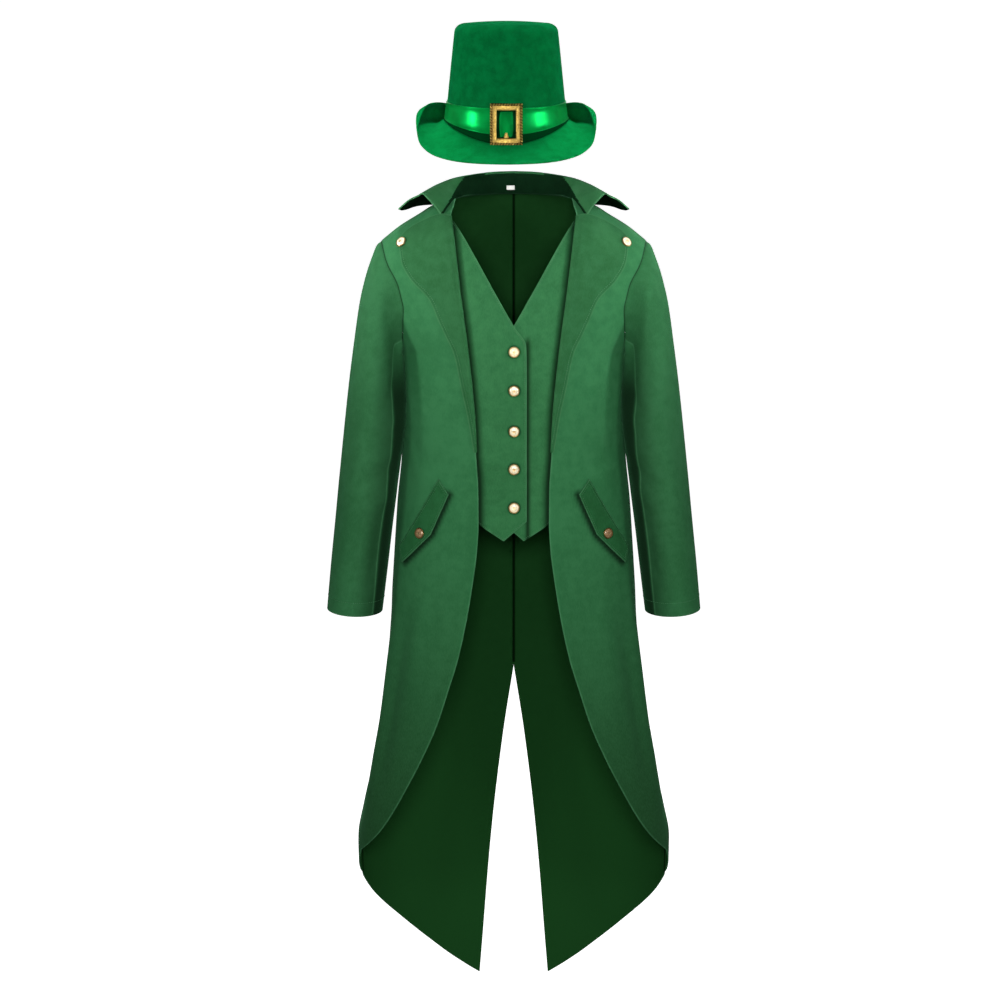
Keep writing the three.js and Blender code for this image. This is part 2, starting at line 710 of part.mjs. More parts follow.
for (const { name, sign } of SIDES) {
  add("coat_front_" + name, wall(onSide(sign, coatFront()), COAT_CLOTH), coatGreen);
  add("coat_back_" + name, wall(onSide(sign, coatBack()), COAT_CLOTH), coatGreen);
  add("lapel_" + name, wall(onSide(sign, lapel()), LAPEL_CLOTH, LAPEL_LIFT), lapelGreen);
  const flapGrid = onSide(sign, pocketFlap());
  add("pocket_flap_" + name, wall(flapGrid, FLAP_CLOTH, FLAP_CLOTH + REST), flapGreen);
  const vest = vestFront().map((row) => row.map((knot) => vestDepth(knot, name === "left")));
  add("vest_" + name, wall(onSide(sign, vest), VEST_CLOTH, VEST_LIFT), vestGreen);
  const [upper, under] = sleeveColumns();
  add("sleeve_upper_" + name, wall(onSide(sign, sleeveKnots(upper)), SLEEVE_CLOTH), coatGreen);
  add("sleeve_under_" + name, wall(onSide(sign, sleeveKnots(under)), SLEEVE_CLOTH), coatGreen);
}
add("collar", wall(collarKnots(), COLLAR_CLOTH), coatGreen);

// A blank woven tab at the back of the neck
const tab = { x: -5, halfWidth: 6.5, low: 31, high: 38, thickness: 0.8 };
const tabKnots = [tab.low, tab.high].map((z) =>
  [tab.x - tab.halfWidth, tab.x, tab.x + tab.halfWidth].map((x) => ({
    at: new THREE.Vector3(x, tabBack(x, z), z),
    out: new THREE.Vector3(0, -1, 0),
  })),
);

// How far back the tab's front face lies, against the inside of the collar.
function tabBack(x, z) {
  const { seam, crest } = COLLAR[COLLAR.length - 1];
  const lean = (crest[1] - seam[1]) / (crest[2] - seam[2]);
  const curl = (x * x) / (2 * NECK_HALF_WIDTH);
  return seam[1] + lean * (z - seam[2]) - curl - COLLAR_CLOTH - 3 * REST;
}
add("neck_tab", wall(tabKnots, tab.thickness), labelWhite);

// Buttons: a low dome with a rim, its flat back against the cloth
function button() {
  const profile = [
    [0, 0],
    [BUTTON_RADIUS * 0.9, 0],
    [BUTTON_RADIUS, BUTTON_HEIGHT * 0.35],
    [BUTTON_RADIUS * 0.75, BUTTON_HEIGHT * 0.68],
    [BUTTON_RADIUS * 0.38, BUTTON_HEIGHT * 0.93],
    [0, BUTTON_HEIGHT],
  ].map(([radius, height]) => new THREE.Vector2(radius, height));
  const geometry = new THREE.LatheGeometry(profile, 12);
  geometry.deleteAttribute("normal");
  geometry.deleteAttribute("uv");
  return mergeVertices(geometry);
}

function addButton(name, knot, lift) {
  const mesh = add(name, button(), brass);
  mesh.position.copy(moved(knot, lift));
  mesh.quaternion.setFromUnitVectors(new THREE.Vector3(0, 1, 0), knot.out);
}

const VEST_BUTTONS = [-210, -273, -339, -400, -462].map((height) => ({ x: 0.5, height }));
const LAPEL_BUTTON = { x: 177.5, height: -37 };
const FLAP_BUTTON = { x: 146.5, height: -507 };

VEST_BUTTONS.forEach(({ x, height }, i) => {
  addButton("vest_button_" + (i + 1), bodyKnot(turnOf(x, height), height), REST + VEST_LIFT);
});
for (const { name, sign } of SIDES) {
  const onPiece = ({ x, height }) => onSide(sign, [[bodyKnot(turnOf(x, height), height)]])[0][0];
  addButton("lapel_button_" + name, onPiece(LAPEL_BUTTON), LAPEL_LIFT + REST);
  addButton("flap_button_" + name, onPiece(FLAP_BUTTON), FLAP_CLOTH + 2 * REST);
}

// The hat, on a group of its own
const hat = new THREE.Group();
hat.position.set(HAT.x, HAT.y, HAT.z);
group.add(hat);

// A point of the crown's outline, at this height above its base. Its foot
// lies higher at the sides, and this fades out up the crown, while its top
// falls away to the back. scale draws the outline in, for the top.
function crownPoint(turn, height, lift = 0, scale = 1) {
  const share = height / CROWN.height;
  const halfWidth = mix(CROWN.baseWidth, CROWN.topWidth, share) + lift;
  const halfDepth = mix(CROWN.baseDepth, CROWN.topDepth, share) + lift;
  const foot = mix(JUNCTION.front, JUNCTION.side, Math.sin(turn) ** 2);
  const rise = foot * Math.max(0, 1 - height / JUNCTION.fade) ** 2;
  const x = halfWidth * scale * Math.sin(turn);
  const y = -halfDepth * scale * Math.cos(turn);
  const fall = CROWN.slope * (y + CROWN.topDepth) * Math.max(0, share) ** 3;
  return new THREE.Vector3(x, y, height + rise - fall);
}

// The crown is a cup that opens downwards, with felt walls.
function crown() {
  const { height, rounding } = CROWN;
  const quarter = [0, 0.35, 0.7, 1].map((s) => s * (Math.PI / 2));
  const shell = (inset) => [
    ...[-FELT, BAND.low, JUNCTION.fade].map((level) => ({ scale: 1, lift: -inset, height: level })),
    ...quarter.map((turn) => ({
      scale: 1,
      lift: -inset - (1 - Math.cos(turn)) * rounding,
      height: height - rounding + Math.sin(turn) * (rounding - inset),
    })),
    { scale: 0.5, lift: -inset - rounding, height: height - inset + 1.2 },
    { scale: 0, lift: 0, height: height - inset + 1.8 },
  ];
  const profile = [...shell(0).reverse(), ...shell(FELT)];
  const marks = profile.map((_, i) => new THREE.Vector2(i === 0 || i === profile.length - 1 ? 0 : 1, i));
  const geometry = new THREE.LatheGeometry(marks, HAT_SEGMENTS);
  const position = geometry.attributes.position;
  for (let i = 0; i < position.count; i += 1) {
    const turn = Math.atan2(position.getX(i), -position.getZ(i));
    const { scale, lift, height: level } = profile[Math.round(position.getY(i))];
    const point = crownPoint(turn, level, lift, scale);
    position.setXYZ(i, point.x, point.y, point.z);
  }
  geometry.deleteAttribute("normal");
  geometry.deleteAttribute("uv");
  const merged = mergeVertices(geometry, 0.01);
  return facingOut([...merged.attributes.position.array], [...merged.index.array]);
}

// A ring of felt from the crown's foot to the edge, rolled up at its sides
function brim() {
  const rollAt = curve(BRIM_ROLL, "turn", "share");
  const lines = steps(HAT_SEGMENTS)
    .slice(0, -1)
    .map((s) => {
      const turn = s * 2 * Math.PI;
      const inner = crownPoint(turn, 0, SEAM);
      const roll = rollAt(360 * Math.min(s, 1 - s));
      const full = Math.sin(2 * turn) ** 2 * (1 - roll);
      return BRIM.map(({ frontOut, frontUp, sideOut, sideUp }, i) => {
        const outwards = (full * i) / (BRIM.length - 1);
        const out = mix(frontOut, sideOut, roll) + BRIM_FULL.out * outwards;
        const up = mix(frontUp, sideUp, roll) - BRIM_FULL.down * outwards;
        return inner.clone().add(new THREE.Vector3(out * Math.sin(turn), -out * Math.cos(turn), up));
      });
    });
  const knots = gridKnots(lines, true);
  knots.forEach((line) => line[0].out.set(0, 0, 1));
  return wall(transposed(knots), FELT, 0, true);
}

function transposed(grid) {
  return grid[0].map((_, j) => grid.map((row) => row[j]));
}

// The ribbon round the crown, and the tab of it inside the buckle
function hatBand() {
  const ring = (height) =>
    steps(HAT_SEGMENTS)
      .slice(0, -1)
      .map((s) => {
        const turn = s * 2 * Math.PI;
        return {
          at: crownPoint(turn, height, SEAM + RIBBON),
          out: new THREE.Vector3(Math.sin(turn), -Math.cos(turn), 0),
        };
      });
  return wall([BAND.low, BAND.high].map(ring), RIBBON, 0, true);
}

add("hat_crown", crown(), feltGreen, hat);
add("hat_brim", brim(), feltGreen, hat);
add("hat_band", hatBand(), ribbonGreen, hat);

// Where a flat thing lies against the front of the band, given its own lift.
function frontOfBand(x, height, lift) {
  const turn = Math.asin(x / (mix(CROWN.baseWidth, CROWN.topWidth, height / CROWN.height) + lift));
  return crownPoint(turn, height, lift).y;
}

function bentToBand(geometry, lift) {
  const position = geometry.attributes.position;
  for (let i = 0; i < position.count; i += 1) {
    const x = position.getX(i);
    const height = BUCKLE.level + position.getY(i);
    position.setXYZ(i, x, frontOfBand(x, height, lift) - position.getZ(i), height);
  }
  geometry.deleteAttribute("normal");
  geometry.deleteAttribute("uv");
  const merged = mergeVertices(geometry, 0.001);
  return facingOut([...merged.attributes.position.array], [...merged.index.array]);
}

function rectangle(path, width, height, columns) {
  const across = steps(columns).map((s) => mix(-width / 2, width / 2, s));
  across.forEach((x, i) => (i ? path.lineTo(x, -height / 2) : path.moveTo(x, -height / 2)));
  across.reverse().forEach((x) => path.lineTo(x, height / 2));
  path.closePath();
  return path;
}

function buckle() {
  const outline = rectangle(new THREE.Shape(), BUCKLE.width, BUCKLE.height, 6);
  outline.holes.push(rectangle(new THREE.Path(), BUCKLE.windowWidth, BUCKLE.windowHeight, 4));
  return new THREE.ExtrudeGeometry(outline, { depth: BUCKLE.thickness, bevelEnabled: false });
}

const bandLift = SEAM + RIBBON + REST;
add("hat_buckle", bentToBand(buckle(), bandLift), brass, hat);

// The ribbon's tab shows in the buckle's window, and the prong crosses its foot
function ribbonTab() {
  const outline = rectangle(new THREE.Shape(), TAB.width, TAB.height, 3);
  return new THREE.ExtrudeGeometry(outline, { depth: TAB.thickness, bevelEnabled: false });
}

function prong() {
  const foot = -BUCKLE.windowHeight / 2 + SEAM;
  const outline = new THREE.Shape();
  outline.moveTo(-PRONG.foot / 2, foot);
  outline.lineTo(PRONG.foot / 2, foot);
  outline.lineTo(PRONG.tip / 2, foot + PRONG.height);
  outline.lineTo(-PRONG.tip / 2, foot + PRONG.height);
  outline.closePath();
  return new THREE.ExtrudeGeometry(outline, { depth: PRONG.thickness, bevelEnabled: false });
}

add("hat_band_tab", bentToBand(ribbonTab(), bandLift), ribbonGreen, hat);
add("hat_buckle_prong", bentToBand(prong(), bandLift + TAB.thickness + SEAM), brass, hat);

export default group;
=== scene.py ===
# %% [markdown]
# A green dress-up costume: a tailcoat with a mock waistcoat sewn in, and a felt
# top hat with a ribbon and a buckle. The CAD model is a fixed frame of plain
# walls. Each cloth wall is made again here as a fine sheet on the same form,
# with its creases, pressed edges and stitching, and takes the wall's place.

# %% Load the frame
import math
import random

import bmesh
import bpy
import numpy as np
from mathutils import Matrix, Vector


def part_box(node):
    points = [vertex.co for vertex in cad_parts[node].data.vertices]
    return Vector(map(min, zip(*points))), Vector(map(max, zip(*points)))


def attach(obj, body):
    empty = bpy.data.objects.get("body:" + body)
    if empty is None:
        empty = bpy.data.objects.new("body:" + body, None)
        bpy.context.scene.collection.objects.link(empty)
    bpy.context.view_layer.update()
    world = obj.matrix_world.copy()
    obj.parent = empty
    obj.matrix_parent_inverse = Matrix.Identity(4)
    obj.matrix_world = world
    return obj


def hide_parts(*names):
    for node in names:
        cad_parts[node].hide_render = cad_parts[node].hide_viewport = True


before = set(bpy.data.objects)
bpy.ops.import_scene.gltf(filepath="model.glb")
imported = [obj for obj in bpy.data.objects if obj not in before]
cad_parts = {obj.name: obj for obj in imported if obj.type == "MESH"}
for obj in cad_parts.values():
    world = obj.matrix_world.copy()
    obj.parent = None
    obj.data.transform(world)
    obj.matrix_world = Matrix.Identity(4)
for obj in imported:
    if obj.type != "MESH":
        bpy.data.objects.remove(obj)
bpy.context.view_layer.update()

print(len(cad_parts), "nodes in the frame")

# %% [markdown]
# A tailor's pattern is in millimetres, and Blender works in metres. All the
# sizes below are in millimetres, and they are turned into metres where a mesh
# gets its points. The costume's front faces -Y, and its left side is +X.

# %% Shared sizes
MM = 0.001
COAT_CLOTH = 2.0
VEST_CLOTH = 1.6
LAPEL_CLOTH = 2.2
FLAP_CLOTH = 2.0
SLEEVE_CLOTH = 1.8
COLLAR_CLOTH = 2.4
BUTTON_RADIUS = 8.8
FELT = 2.6
LAPEL_GAP, VEST_GAP = 1.1, 1.2
LAPEL_LIFT = LAPEL_CLOTH + LAPEL_GAP
VEST_LIFT = -COAT_CLOTH - VEST_GAP
ARMPIT = -222
SIDE_SEAM = math.radians(100)  # round from the middle of the front
LEFT, RIGHT = 1, -1
SIDE_NAMES = {RIGHT: "right", LEFT: "left"}
print("cloth of the coat", COAT_CLOTH, "mm thick")

# %% [markdown]
# The form of a worn coat is given by short tables: how wide and deep the body
# is at each height, where the edges run. Between two rows of a table the value
# follows a smooth line that never swings past a row, so a table needs few rows.

# %% A smooth line through the rows of a table
def curve(keys, values):
    """A function that goes smoothly through the values at the keys. A value may be a whole array."""
    order = np.argsort(keys)
    x = np.asarray(keys, float)[order]
    y = np.asarray(values, float)[order]
    shape = (-1,) + (1,) * (y.ndim - 1)
    rise = np.diff(y, axis=0) / np.diff(x).reshape(shape)
    slope = np.concatenate([rise[:1], rise])
    before, after = rise[:-1], rise[1:]
    same = before * after > 0
    total = np.where(same, before + after, 1)
    slope[1:-1] = np.where(same, 2 * before * after / total, 0)

    def at(where):
        where = np.asarray(where, float)
        i = np.clip(np.searchsorted(x, where) - 1, 0, len(x) - 2)
        span = (x[i + 1] - x[i]).reshape(where.shape + (1,) * (y.ndim - 1))
        t = np.clip((where - x[i]).reshape(span.shape) / span, 0, 1)
        ease = t * t * (3 - 2 * t)
        leave, arrive = t * (1 - t) ** 2 * span, t * t * (t - 1) * span
        return y[i] + (y[i + 1] - y[i]) * ease + slope[i] * leave + slope[i + 1] * arrive

    return at


def smoothstep(value, low, high):
    t = np.clip((value - low) / (high - low), 0, 1)
    return t * t * (3 - 2 * t)


def mix(a, b, share):
    return a + (b - a) * share


def stations(count, edge=0.012):
    """Shares from 0 to 1 in even steps, with one more close to each end for a crisp edge."""
    return np.concatenate([[0], np.linspace(edge, 1 - edge, count - 1), [1]])


def lengths_along(points):
    """How far along a line of points each of them is."""
    steps = np.linalg.norm(np.diff(points, axis=0), axis=1)
    return np.concatenate([[0], np.cumsum(steps)])


print("halfway between 0 and 10:", float(curve([0, 1], [0, 10])(0.5)))

# %% [markdown]
# A worn coat is round in plan, so the body is a stack of half ellipses: a width
# at each height, and one depth for the front and one for the back. At the top
# each column of cloth bends over to the shoulder seam on a small arc. Both
# halves of the coat are worked out on the wearer's left and mirrored later.

# %% The body of the coat, as ellipses
BODY_HEIGHT = [100, -60, -100, -139, -171, -211, -222, -300, -372, -463, -527, -595, -663, -731,
               -808, -881, -957, -1002, -1060, -1250]
BODY_HALF_WIDTH = [240, 238, 231, 221, 209, 186, 181, 179, 178.5, 186, 190, 194, 198, 204,
                   213, 227, 242, 249, 248, 240]
BODY_FRONT = [112, 116, 118, 119, 119, 118, 118, 112, 108, 108, 110, 113, 116, 120,
              125, 131, 138, 142, 144, 146]
BODY_BACK = [100, 108, 112, 113, 112, 110, 109, 104, 98, 97, 100, 105, 112, 120,
             127, 133, 138, 141, 143, 146]
SHOULDER_X = [0, 93, 110, 131, 150, 182, 206, 220]
SHOULDER_HEIGHT = [24, 24, 19, 11, -1, -21, -40, -51]
SHOULDER_RADIUS = [95, 95, 95, 92, 88, 77, 68, 64]
NECK_HALF_WIDTH = 93
NECK_DEPTH = 75
HEIGHT_ROUNDS = 6

half_width_at = curve(BODY_HEIGHT, BODY_HALF_WIDTH)
front_at = curve(BODY_HEIGHT, BODY_FRONT)
back_at = curve(BODY_HEIGHT, BODY_BACK)
shoulder_at = curve(SHOULDER_X, SHOULDER_HEIGHT)
shoulder_radius_at = curve(SHOULDER_X, SHOULDER_RADIUS)


def body_point(turn, height):
    """A point of the coat's outer face. Over a shoulder, height is measured along the cloth."""
    x = half_width_at(height) * np.sin(turn)
    radius = shoulder_radius_at(np.abs(x))
    springing = shoulder_at(np.abs(x)) - radius
    over = np.clip((height - springing) / radius, 0, math.pi / 2)
    behind = np.cos(turn) < 0
    depth = -np.cos(turn) * np.where(behind, back_at(height), front_at(height))
    within = np.clip(1 - (x / NECK_HALF_WIDTH) ** 2, 0, 1)
    neck = np.where(behind, NECK_DEPTH * within ** 0.6, 0)
    z = np.where(height > springing, springing + radius * np.sin(over), height)
    return np.stack([x, neck + (depth - neck) * np.cos(over), z], axis=-1)


def turn_of(x, height):
    return np.arcsin(np.clip(x / half_width_at(height), -1, 1))


def height_of(turn, rise):
    """The height at a share of the way from the armpit up to the shoulder seam.

    The seam's height depends on x, and x on the height, so a few rounds settle both."""
    height = np.full(np.broadcast(turn, rise).shape, float(ARMPIT))
    for _ in range(HEIGHT_ROUNDS):
        x = np.abs(half_width_at(height) * np.sin(turn))
        top = shoulder_at(x) + shoulder_radius_at(x) * (math.pi / 2 - 1)
        height = ARMPIT + (top - ARMPIT) * rise
    return height


print("chest width", 2 * float(half_width_at(ARMPIT)), "mm")

# %% [markdown]
# Worn cloth is never quite smooth. Each crease is one soft trough or ridge,
# placed on the body: a line from one point to another, given as degrees
# round the body and height, how wide it is, and how far it stands out. The two
# sides get the same creases, shifted and scaled a little by a seeded choice.

# %% Creases on the body
# From degrees and height, to degrees and height, half width, depth.
BODY_CREASES = [
    (50, -232, 30, -262, 13, -2.2), (54, -252, 36, -300, 16, 1.8), (47, -226, 33, -240, 8, -1.2),
    (62, -380, 26, -402, 15, -1.7), (66, -412, 34, -428, 18, 1.5), (72, -350, 58, -372, 12, -1.6),
    (70, -560, 74, -985, 26, 4.6), (58, -640, 66, -930, 17, -3.2), (82, -600, 87, -1010, 22, -4.2),
    (45, -590, 52, -800, 20, 2.2), (94, -640, 96, -1040, 21, 3.6), (34, -560, 40, -690, 15, -1.4),
    (112, -246, 150, -318, 16, -2.6), (118, -272, 158, -352, 19, 2.2), (108, -232, 132, -262, 10, -1.6),
    (126, -180, 150, -120, 22, 1.6), (122, -150, 138, -96, 15, -1.4),
    (112, -398, 166, -420, 15, -2.2), (116, -436, 160, -458, 20, 1.8), (124, -372, 150, -384, 10, -1.1),
    (110, -640, 113, -1060, 24, -4.4), (124, -690, 127, -1110, 27, 5.2), (139, -660, 142, -1150, 23, -4.6),
    (152, -720, 154, -1190, 26, 4.8), (165, -760, 164, -1230, 20, -3.4),
]
BODY_DEGREE = 2.9  # millimetres of cloth to a degree round the body
BODY_CREASE_SHIFT = 1.6
BODY_CREASE_SEED = 17
CREASE_BEND = 0.06


def varied(creases, side, shift, seed):
    """The same creases for one side, each a little moved, and deeper or shallower."""
    chance = random.Random(seed + side)
    made = []
    for from_turn, from_height, to_turn, to_height, width, depth in creases:
        move, lower = chance.uniform(-shift, shift), chance.uniform(-3, 3) * shift
        made.append((from_turn + move, from_height + lower, to_turn + move, to_height + lower,
                     width * chance.uniform(0.85, 1.2), depth * chance.uniform(0.7, 1.2)))
    return made


def creased(degrees, height, creases, per_degree):
    """How far the creases lift the cloth at each point."""
    lift = np.zeros(np.broadcast(degrees, height).shape)
    for from_turn, from_height, to_turn, to_height, width, depth in creases:
        along = np.array([(to_turn - from_turn) * per_degree, to_height - from_height])
        length = np.hypot(*along)
        right = (degrees - from_turn) * per_degree
        up = height - from_height
        share = (right * along[0] + up * along[1]) / length ** 2
        bend = CREASE_BEND * length * (1 - (2 * share - 1) ** 2)
        off = (up * along[0] - right * along[1]) / length - bend
        fade = np.clip(1 - (2 * share - 1) ** 2, 0, 1)
        lift += depth * fade * np.exp(-((off / width) ** 2))
    return lift


body_creases = {side: varied(BODY_CREASES, side, BODY_CREASE_SHIFT, BODY_CREASE_SEED)
                for side in (LEFT, RIGHT)}


def creased_body(turn, height, side):
    """Creased points of the body and the ways out of the cloth, on the wearer's left for either side."""
    small = 0.002
    turn, height = np.broadcast_arrays(turn, height)
    around = body_point(turn + small, height) - body_point(turn - small, height)
    up = body_point(turn, height + 0.2) - body_point(turn, height - 0.2)
    out = np.cross(around, up)
    out /= np.linalg.norm(out, axis=-1, keepdims=True)
    lift = creased(np.degrees(turn), height, body_creases[side], BODY_DEGREE)
    return body_point(turn, height) + out * lift[..., None], out


print(len(BODY_CREASES), "creases on each side of the body")

# %% [markdown]
# A cut piece is a grid of points on the cloth's outer face, with the way out of
# the cloth at each. `Panel` keeps both, and the lengths along its rows and
# columns, because the weave, the worn edges and the stitches are all measured
# on the cloth itself.

# %% A cut piece of cloth
SEAM_DEPTH, SEAM_REACH = 1.1, 3.5


class Panel:
    """The outer face of a cut piece, the ways out of it, and the lengths along its rows and columns."""

    def __init__(self, points, out, side=LEFT):
        mirror = np.array([side, 1, 1])
        self.points = points * mirror
        self.out = out * mirror
        self.across = self.measured(self.points)
        self.up = self.measured(self.points.swapaxes(0, 1)).T

    @staticmethod
    def measured(points):
        steps = np.linalg.norm(np.diff(points, axis=1), axis=-1)
        return np.concatenate([np.zeros((len(points), 1)), np.cumsum(steps, axis=1)], axis=1)

    def lifted(self, height):
        """The same piece, moved out of the cloth."""
        amount = np.broadcast_to(height, self.points.shape[:2])[..., None]
        return Panel(self.points + self.out * amount, self.out)

    def from_border(self, border):
        """Points, ways out and distances, one line inwards from each point of a border."""
        points, out, away = self.points, self.out, self.across
        if border in ("bottom", "top"):
            points, out, away = points.swapaxes(0, 1), out.swapaxes(0, 1), self.up.T
        if border in ("end", "top"):
            points, out = points[:, ::-1], out[:, ::-1]
            away = away[:, -1:] - away[:, ::-1]
        return points, out, away

    def line(self, border, inset, span=(0.0, 1.0)):
        """The line that runs beside a border, this far inside it."""
        points, out, away = self.from_border(border)
        first, last = round(span[0] * (len(points) - 1)), round(span[1] * (len(points) - 1)) + 1
        places = [[np.interp(inset, a, p[:, k]) for k in range(3)] for p, a in zip(points, away)]
        ways = [[np.interp(inset, a, o[:, k]) for k in range(3)] for o, a in zip(out, away)]
        return np.array(places)[first:last], np.array(ways)[first:last]

    def distance(self, borders):
        """How far each point is from the nearest of these borders. A border may have its rows beside it."""
        nearest = np.full(self.points.shape[:2], 1000.0)
        for border in borders:
            name, rows = border if isinstance(border, tuple) else (border, slice(None))
            away = {
                "start": self.across,
                "end": self.across[:, -1:] - self.across,
                "bottom": self.up,
                "top": self.up[-1:] - self.up,
            }[name]
            nearest[rows] = np.minimum(nearest[rows], away[rows])
        return nearest

    def sewn_down(self, borders):
        """The same piece, pulled in beside the borders that are sewn to others."""
        return self.lifted(-SEAM_DEPTH * np.exp(-((self.distance(borders) / SEAM_REACH) ** 2)))


def outward(points):
    """The way out of a grid of points, from its neighbours."""
    across = np.gradient(points, axis=1)
    up = np.gradient(points, axis=0)
    out = np.cross(across, up)
    return out / np.maximum(np.linalg.norm(out, axis=-1, keepdims=True), 1e-9)


print("panels ready")

# %% [markdown]
# One function turns a panel into a sheet. It starts from Blender's own grid and
# moves each grid point to its place. For the materials it writes a UV map in
# metres of cloth, how far each point is from a free edge and from a seam, for a
# painted highlight and a painted shade there, and how much painted shade the
# cloth gets. Solidify gives the thickness, with a darker material for the wrong
# side of the cloth, a painted shade, and a small bevel rounds the cut edge as
# pressing does.

# %% From a panel to a sheet
def placed(obj, slot, *nodes):
    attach(obj, "root")
    if nodes:
        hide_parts(*nodes)
    return obj


def new_object(name, bm, *materials):
    mesh = bpy.data.meshes.new(name)
    bm.to_mesh(mesh)
    bm.free()
    for material in materials:
        mesh.materials.append(material)
    mesh.shade_smooth()
    obj = bpy.data.objects.new(name, mesh)
    bpy.context.scene.collection.objects.link(obj)
    return obj


BEVEL_ANGLE = math.radians(55)


def sheet_of(name, panel, thickness, materials, free, sewn_to=(), edge_round=0.5, shade=0.0):
    """free and sewn_to are borders, for the painted highlight on free edges and the painted shade in seams.
    shade is 1 where shade is painted in full.
    """
    panel = panel.sewn_down(sewn_to)
    rows, columns = panel.points.shape[:2]
    bm = bmesh.new()
    uv = bm.loops.layers.uv.new("cloth")
    layers = {key: bm.verts.layers.float.new(key) for key in ("rim", "seam", "shade")}
    bmesh.ops.create_grid(bm, x_segments=columns - 1, y_segments=rows - 1, size=1)
    place = {}
    marks = {"rim": panel.distance(free) * MM, "seam": panel.distance(sewn_to) * MM,
             "shade": np.broadcast_to(shade, panel.points.shape[:2])}
    for vert in bm.verts:
        column = round((vert.co.x + 1) / 2 * (columns - 1))
        row = round((vert.co.y + 1) / 2 * (rows - 1))
        place[vert] = (row, column)
    for vert, (row, column) in place.items():
        vert.co = Vector(panel.points[row, column]) * MM
        for key, layer in layers.items():
            vert[layer] = marks[key][row, column]
    for face in bm.faces:
        for loop in face.loops:
            row, column = place[loop.vert]
            loop[uv].uv = (panel.across[row, column] * MM, panel.up[row, column] * MM)
    bm.normal_update()
    faces_in = sum(f.normal.dot(Vector(panel.out[place[f.verts[0]]])) for f in bm.faces) < 0
    if faces_in:
        bmesh.ops.reverse_faces(bm, faces=bm.faces)
    obj = new_object(name, bm, *materials)
    solid = obj.modifiers.new("thickness", "SOLIDIFY")
    solid.thickness = thickness * MM
    solid.offset = -1
    solid.material_offset = len(materials) - 1
    solid.material_offset_rim = 0
    bevel = obj.modifiers.new("pressed edge", "BEVEL")
    bevel.width = edge_round * MM
    bevel.segments = 2
    bevel.limit_method = "ANGLE"
    bevel.angle_limit = BEVEL_ANGLE
    return obj


def cloth_area(panel):
    """The area of the panel in square metres."""
    across = np.diff(panel.points, axis=1)[:-1]
    up = np.diff(panel.points, axis=0)[:, :-1]
    return float(np.linalg.norm(np.cross(across, up), axis=-1).sum()) * MM * MM


print("sheets ready")

# %% [markdown]
# The finishes come next. Shader sums are written as Python sums: a `Wire` wraps
# an output socket, and each operator adds the Math node for it.

# %% Sums on sockets
class Wire:
    def __init__(self, tree, socket):
        self.tree, self.socket = tree, socket

    def node(self, kind, settings=None, inputs=None, output=0):
        """Any node: its type, its settings, and the values or links of its sockets."""
        made = self.tree.nodes.new(kind)
        for name, value in (settings or {}).items():
            setattr(made, name, value)
        for key, value in (inputs or {}).items():
            if isinstance(value, Wire):
                self.tree.links.new(value.socket, made.inputs[key])
            else:
                made.inputs[key].default_value = value
        return Wire(self.tree, made.outputs[output])

    def sum(self, operation, *values):
        return self.node("ShaderNodeMath", {"operation": operation}, dict(enumerate(values)))

    def __add__(self, other):
        return self.sum("ADD", self, other)

    def __sub__(self, other):
        return self.sum("SUBTRACT", self, other)

    def __rsub__(self, other):
        return self.sum("SUBTRACT", other, self)

    def __mul__(self, other):
        return self.sum("MULTIPLY", self, other)

    __radd__, __rmul__ = __add__, __mul__

    def sine(self):
        return self.sum("SINE", self)

    def between(self, low, high):
        """0 below low, 1 above high, smooth in between."""
        inputs = {0: self, 1: low, 2: high, 3: 0.0, 4: 1.0}
        return self.node("ShaderNodeMapRange", {"interpolation_type": "SMOOTHSTEP"}, inputs)

    def mixed(self, first, second):
        """The first colour where this is 0, the second where it is 1."""
        inputs = {0: self, 6: first, 7: second}
        return self.node("ShaderNodeMix", {"data_type": "RGBA"}, inputs, 2)

    def noise(self, scale, detail, roughness=0.55):
        inputs = {"Vector": self, "Scale": scale, "Detail": detail, "Roughness": roughness}
        return self.node("ShaderNodeTexNoise", None, inputs)

    def part(self, axis):
        return self.node("ShaderNodeSeparateXYZ", None, {0: self}, axis)

    def stretched(self, scale):
        return self.node("ShaderNodeMapping", None, {"Vector": self, "Scale": scale})

    def bump(self, strength, distance):
        """The normals of a surface that has this as its fine relief."""
        inputs = {"Strength": strength, "Distance": distance, "Height": self}
        return self.node("ShaderNodeBump", None, inputs)


def finish_named(name, **constants):
    """A new material, its Principled shader, and a Wire on its Object coordinates."""
    material = bpy.data.materials.new(name)
    material.use_nodes = True
    tree = material.node_tree
    shader = tree.nodes["Principled BSDF"]
    for socket, value in constants.items():
        shader.inputs[socket.replace("_", " ")].default_value = value
    place = Wire(tree, tree.nodes.new("ShaderNodeTexCoord").outputs["Object"])
    return material, shader, place


def connect(shader, **wires):
    for socket, wire in wires.items():
        wire.tree.links.new(wire.socket, shader.inputs[socket.replace("_", " ")])


def rgba(red, green, blue):
    return (red, green, blue, 1)


def darker(colour, share):
    return rgba(*[part * share for part in colour])


print("sums on sockets ready")

# %% [markdown]
# The coat is a light suiting with a brushed face. Its twill is too fine to be
# seen from afar, where the cloth shows as soft blotches of lighter and darker
# nap. Close by, the diagonal of the twill shows, from a wave on the UV map.
# Pressed edges catch the light, so a painted highlight makes the colour lighter
# near a free edge. The colour is darker towards the hem, a painted shade for light
# that falls from above, and painted shade darkens it under the arms, in the seams
# and beside the coat's front edges.

# %% Suiting
TWILL_LINES = 900
TWILL_SLANT = 0.8
# Heights, and distances from an edge or a seam, in metres.
HEM_LEVEL, CHEST_LEVEL = -1.06, -0.42
EDGE_HIGHLIGHT = (0.0005, 0.0026)
SEAM_SHADE_REACH = (0.0006, 0.004)
EDGE_HIGHLIGHT_STRENGTH, SEAM_SHADE_STRENGTH = 0.6, 0.95
PAINTED_SHADE_SHARE = 0.12


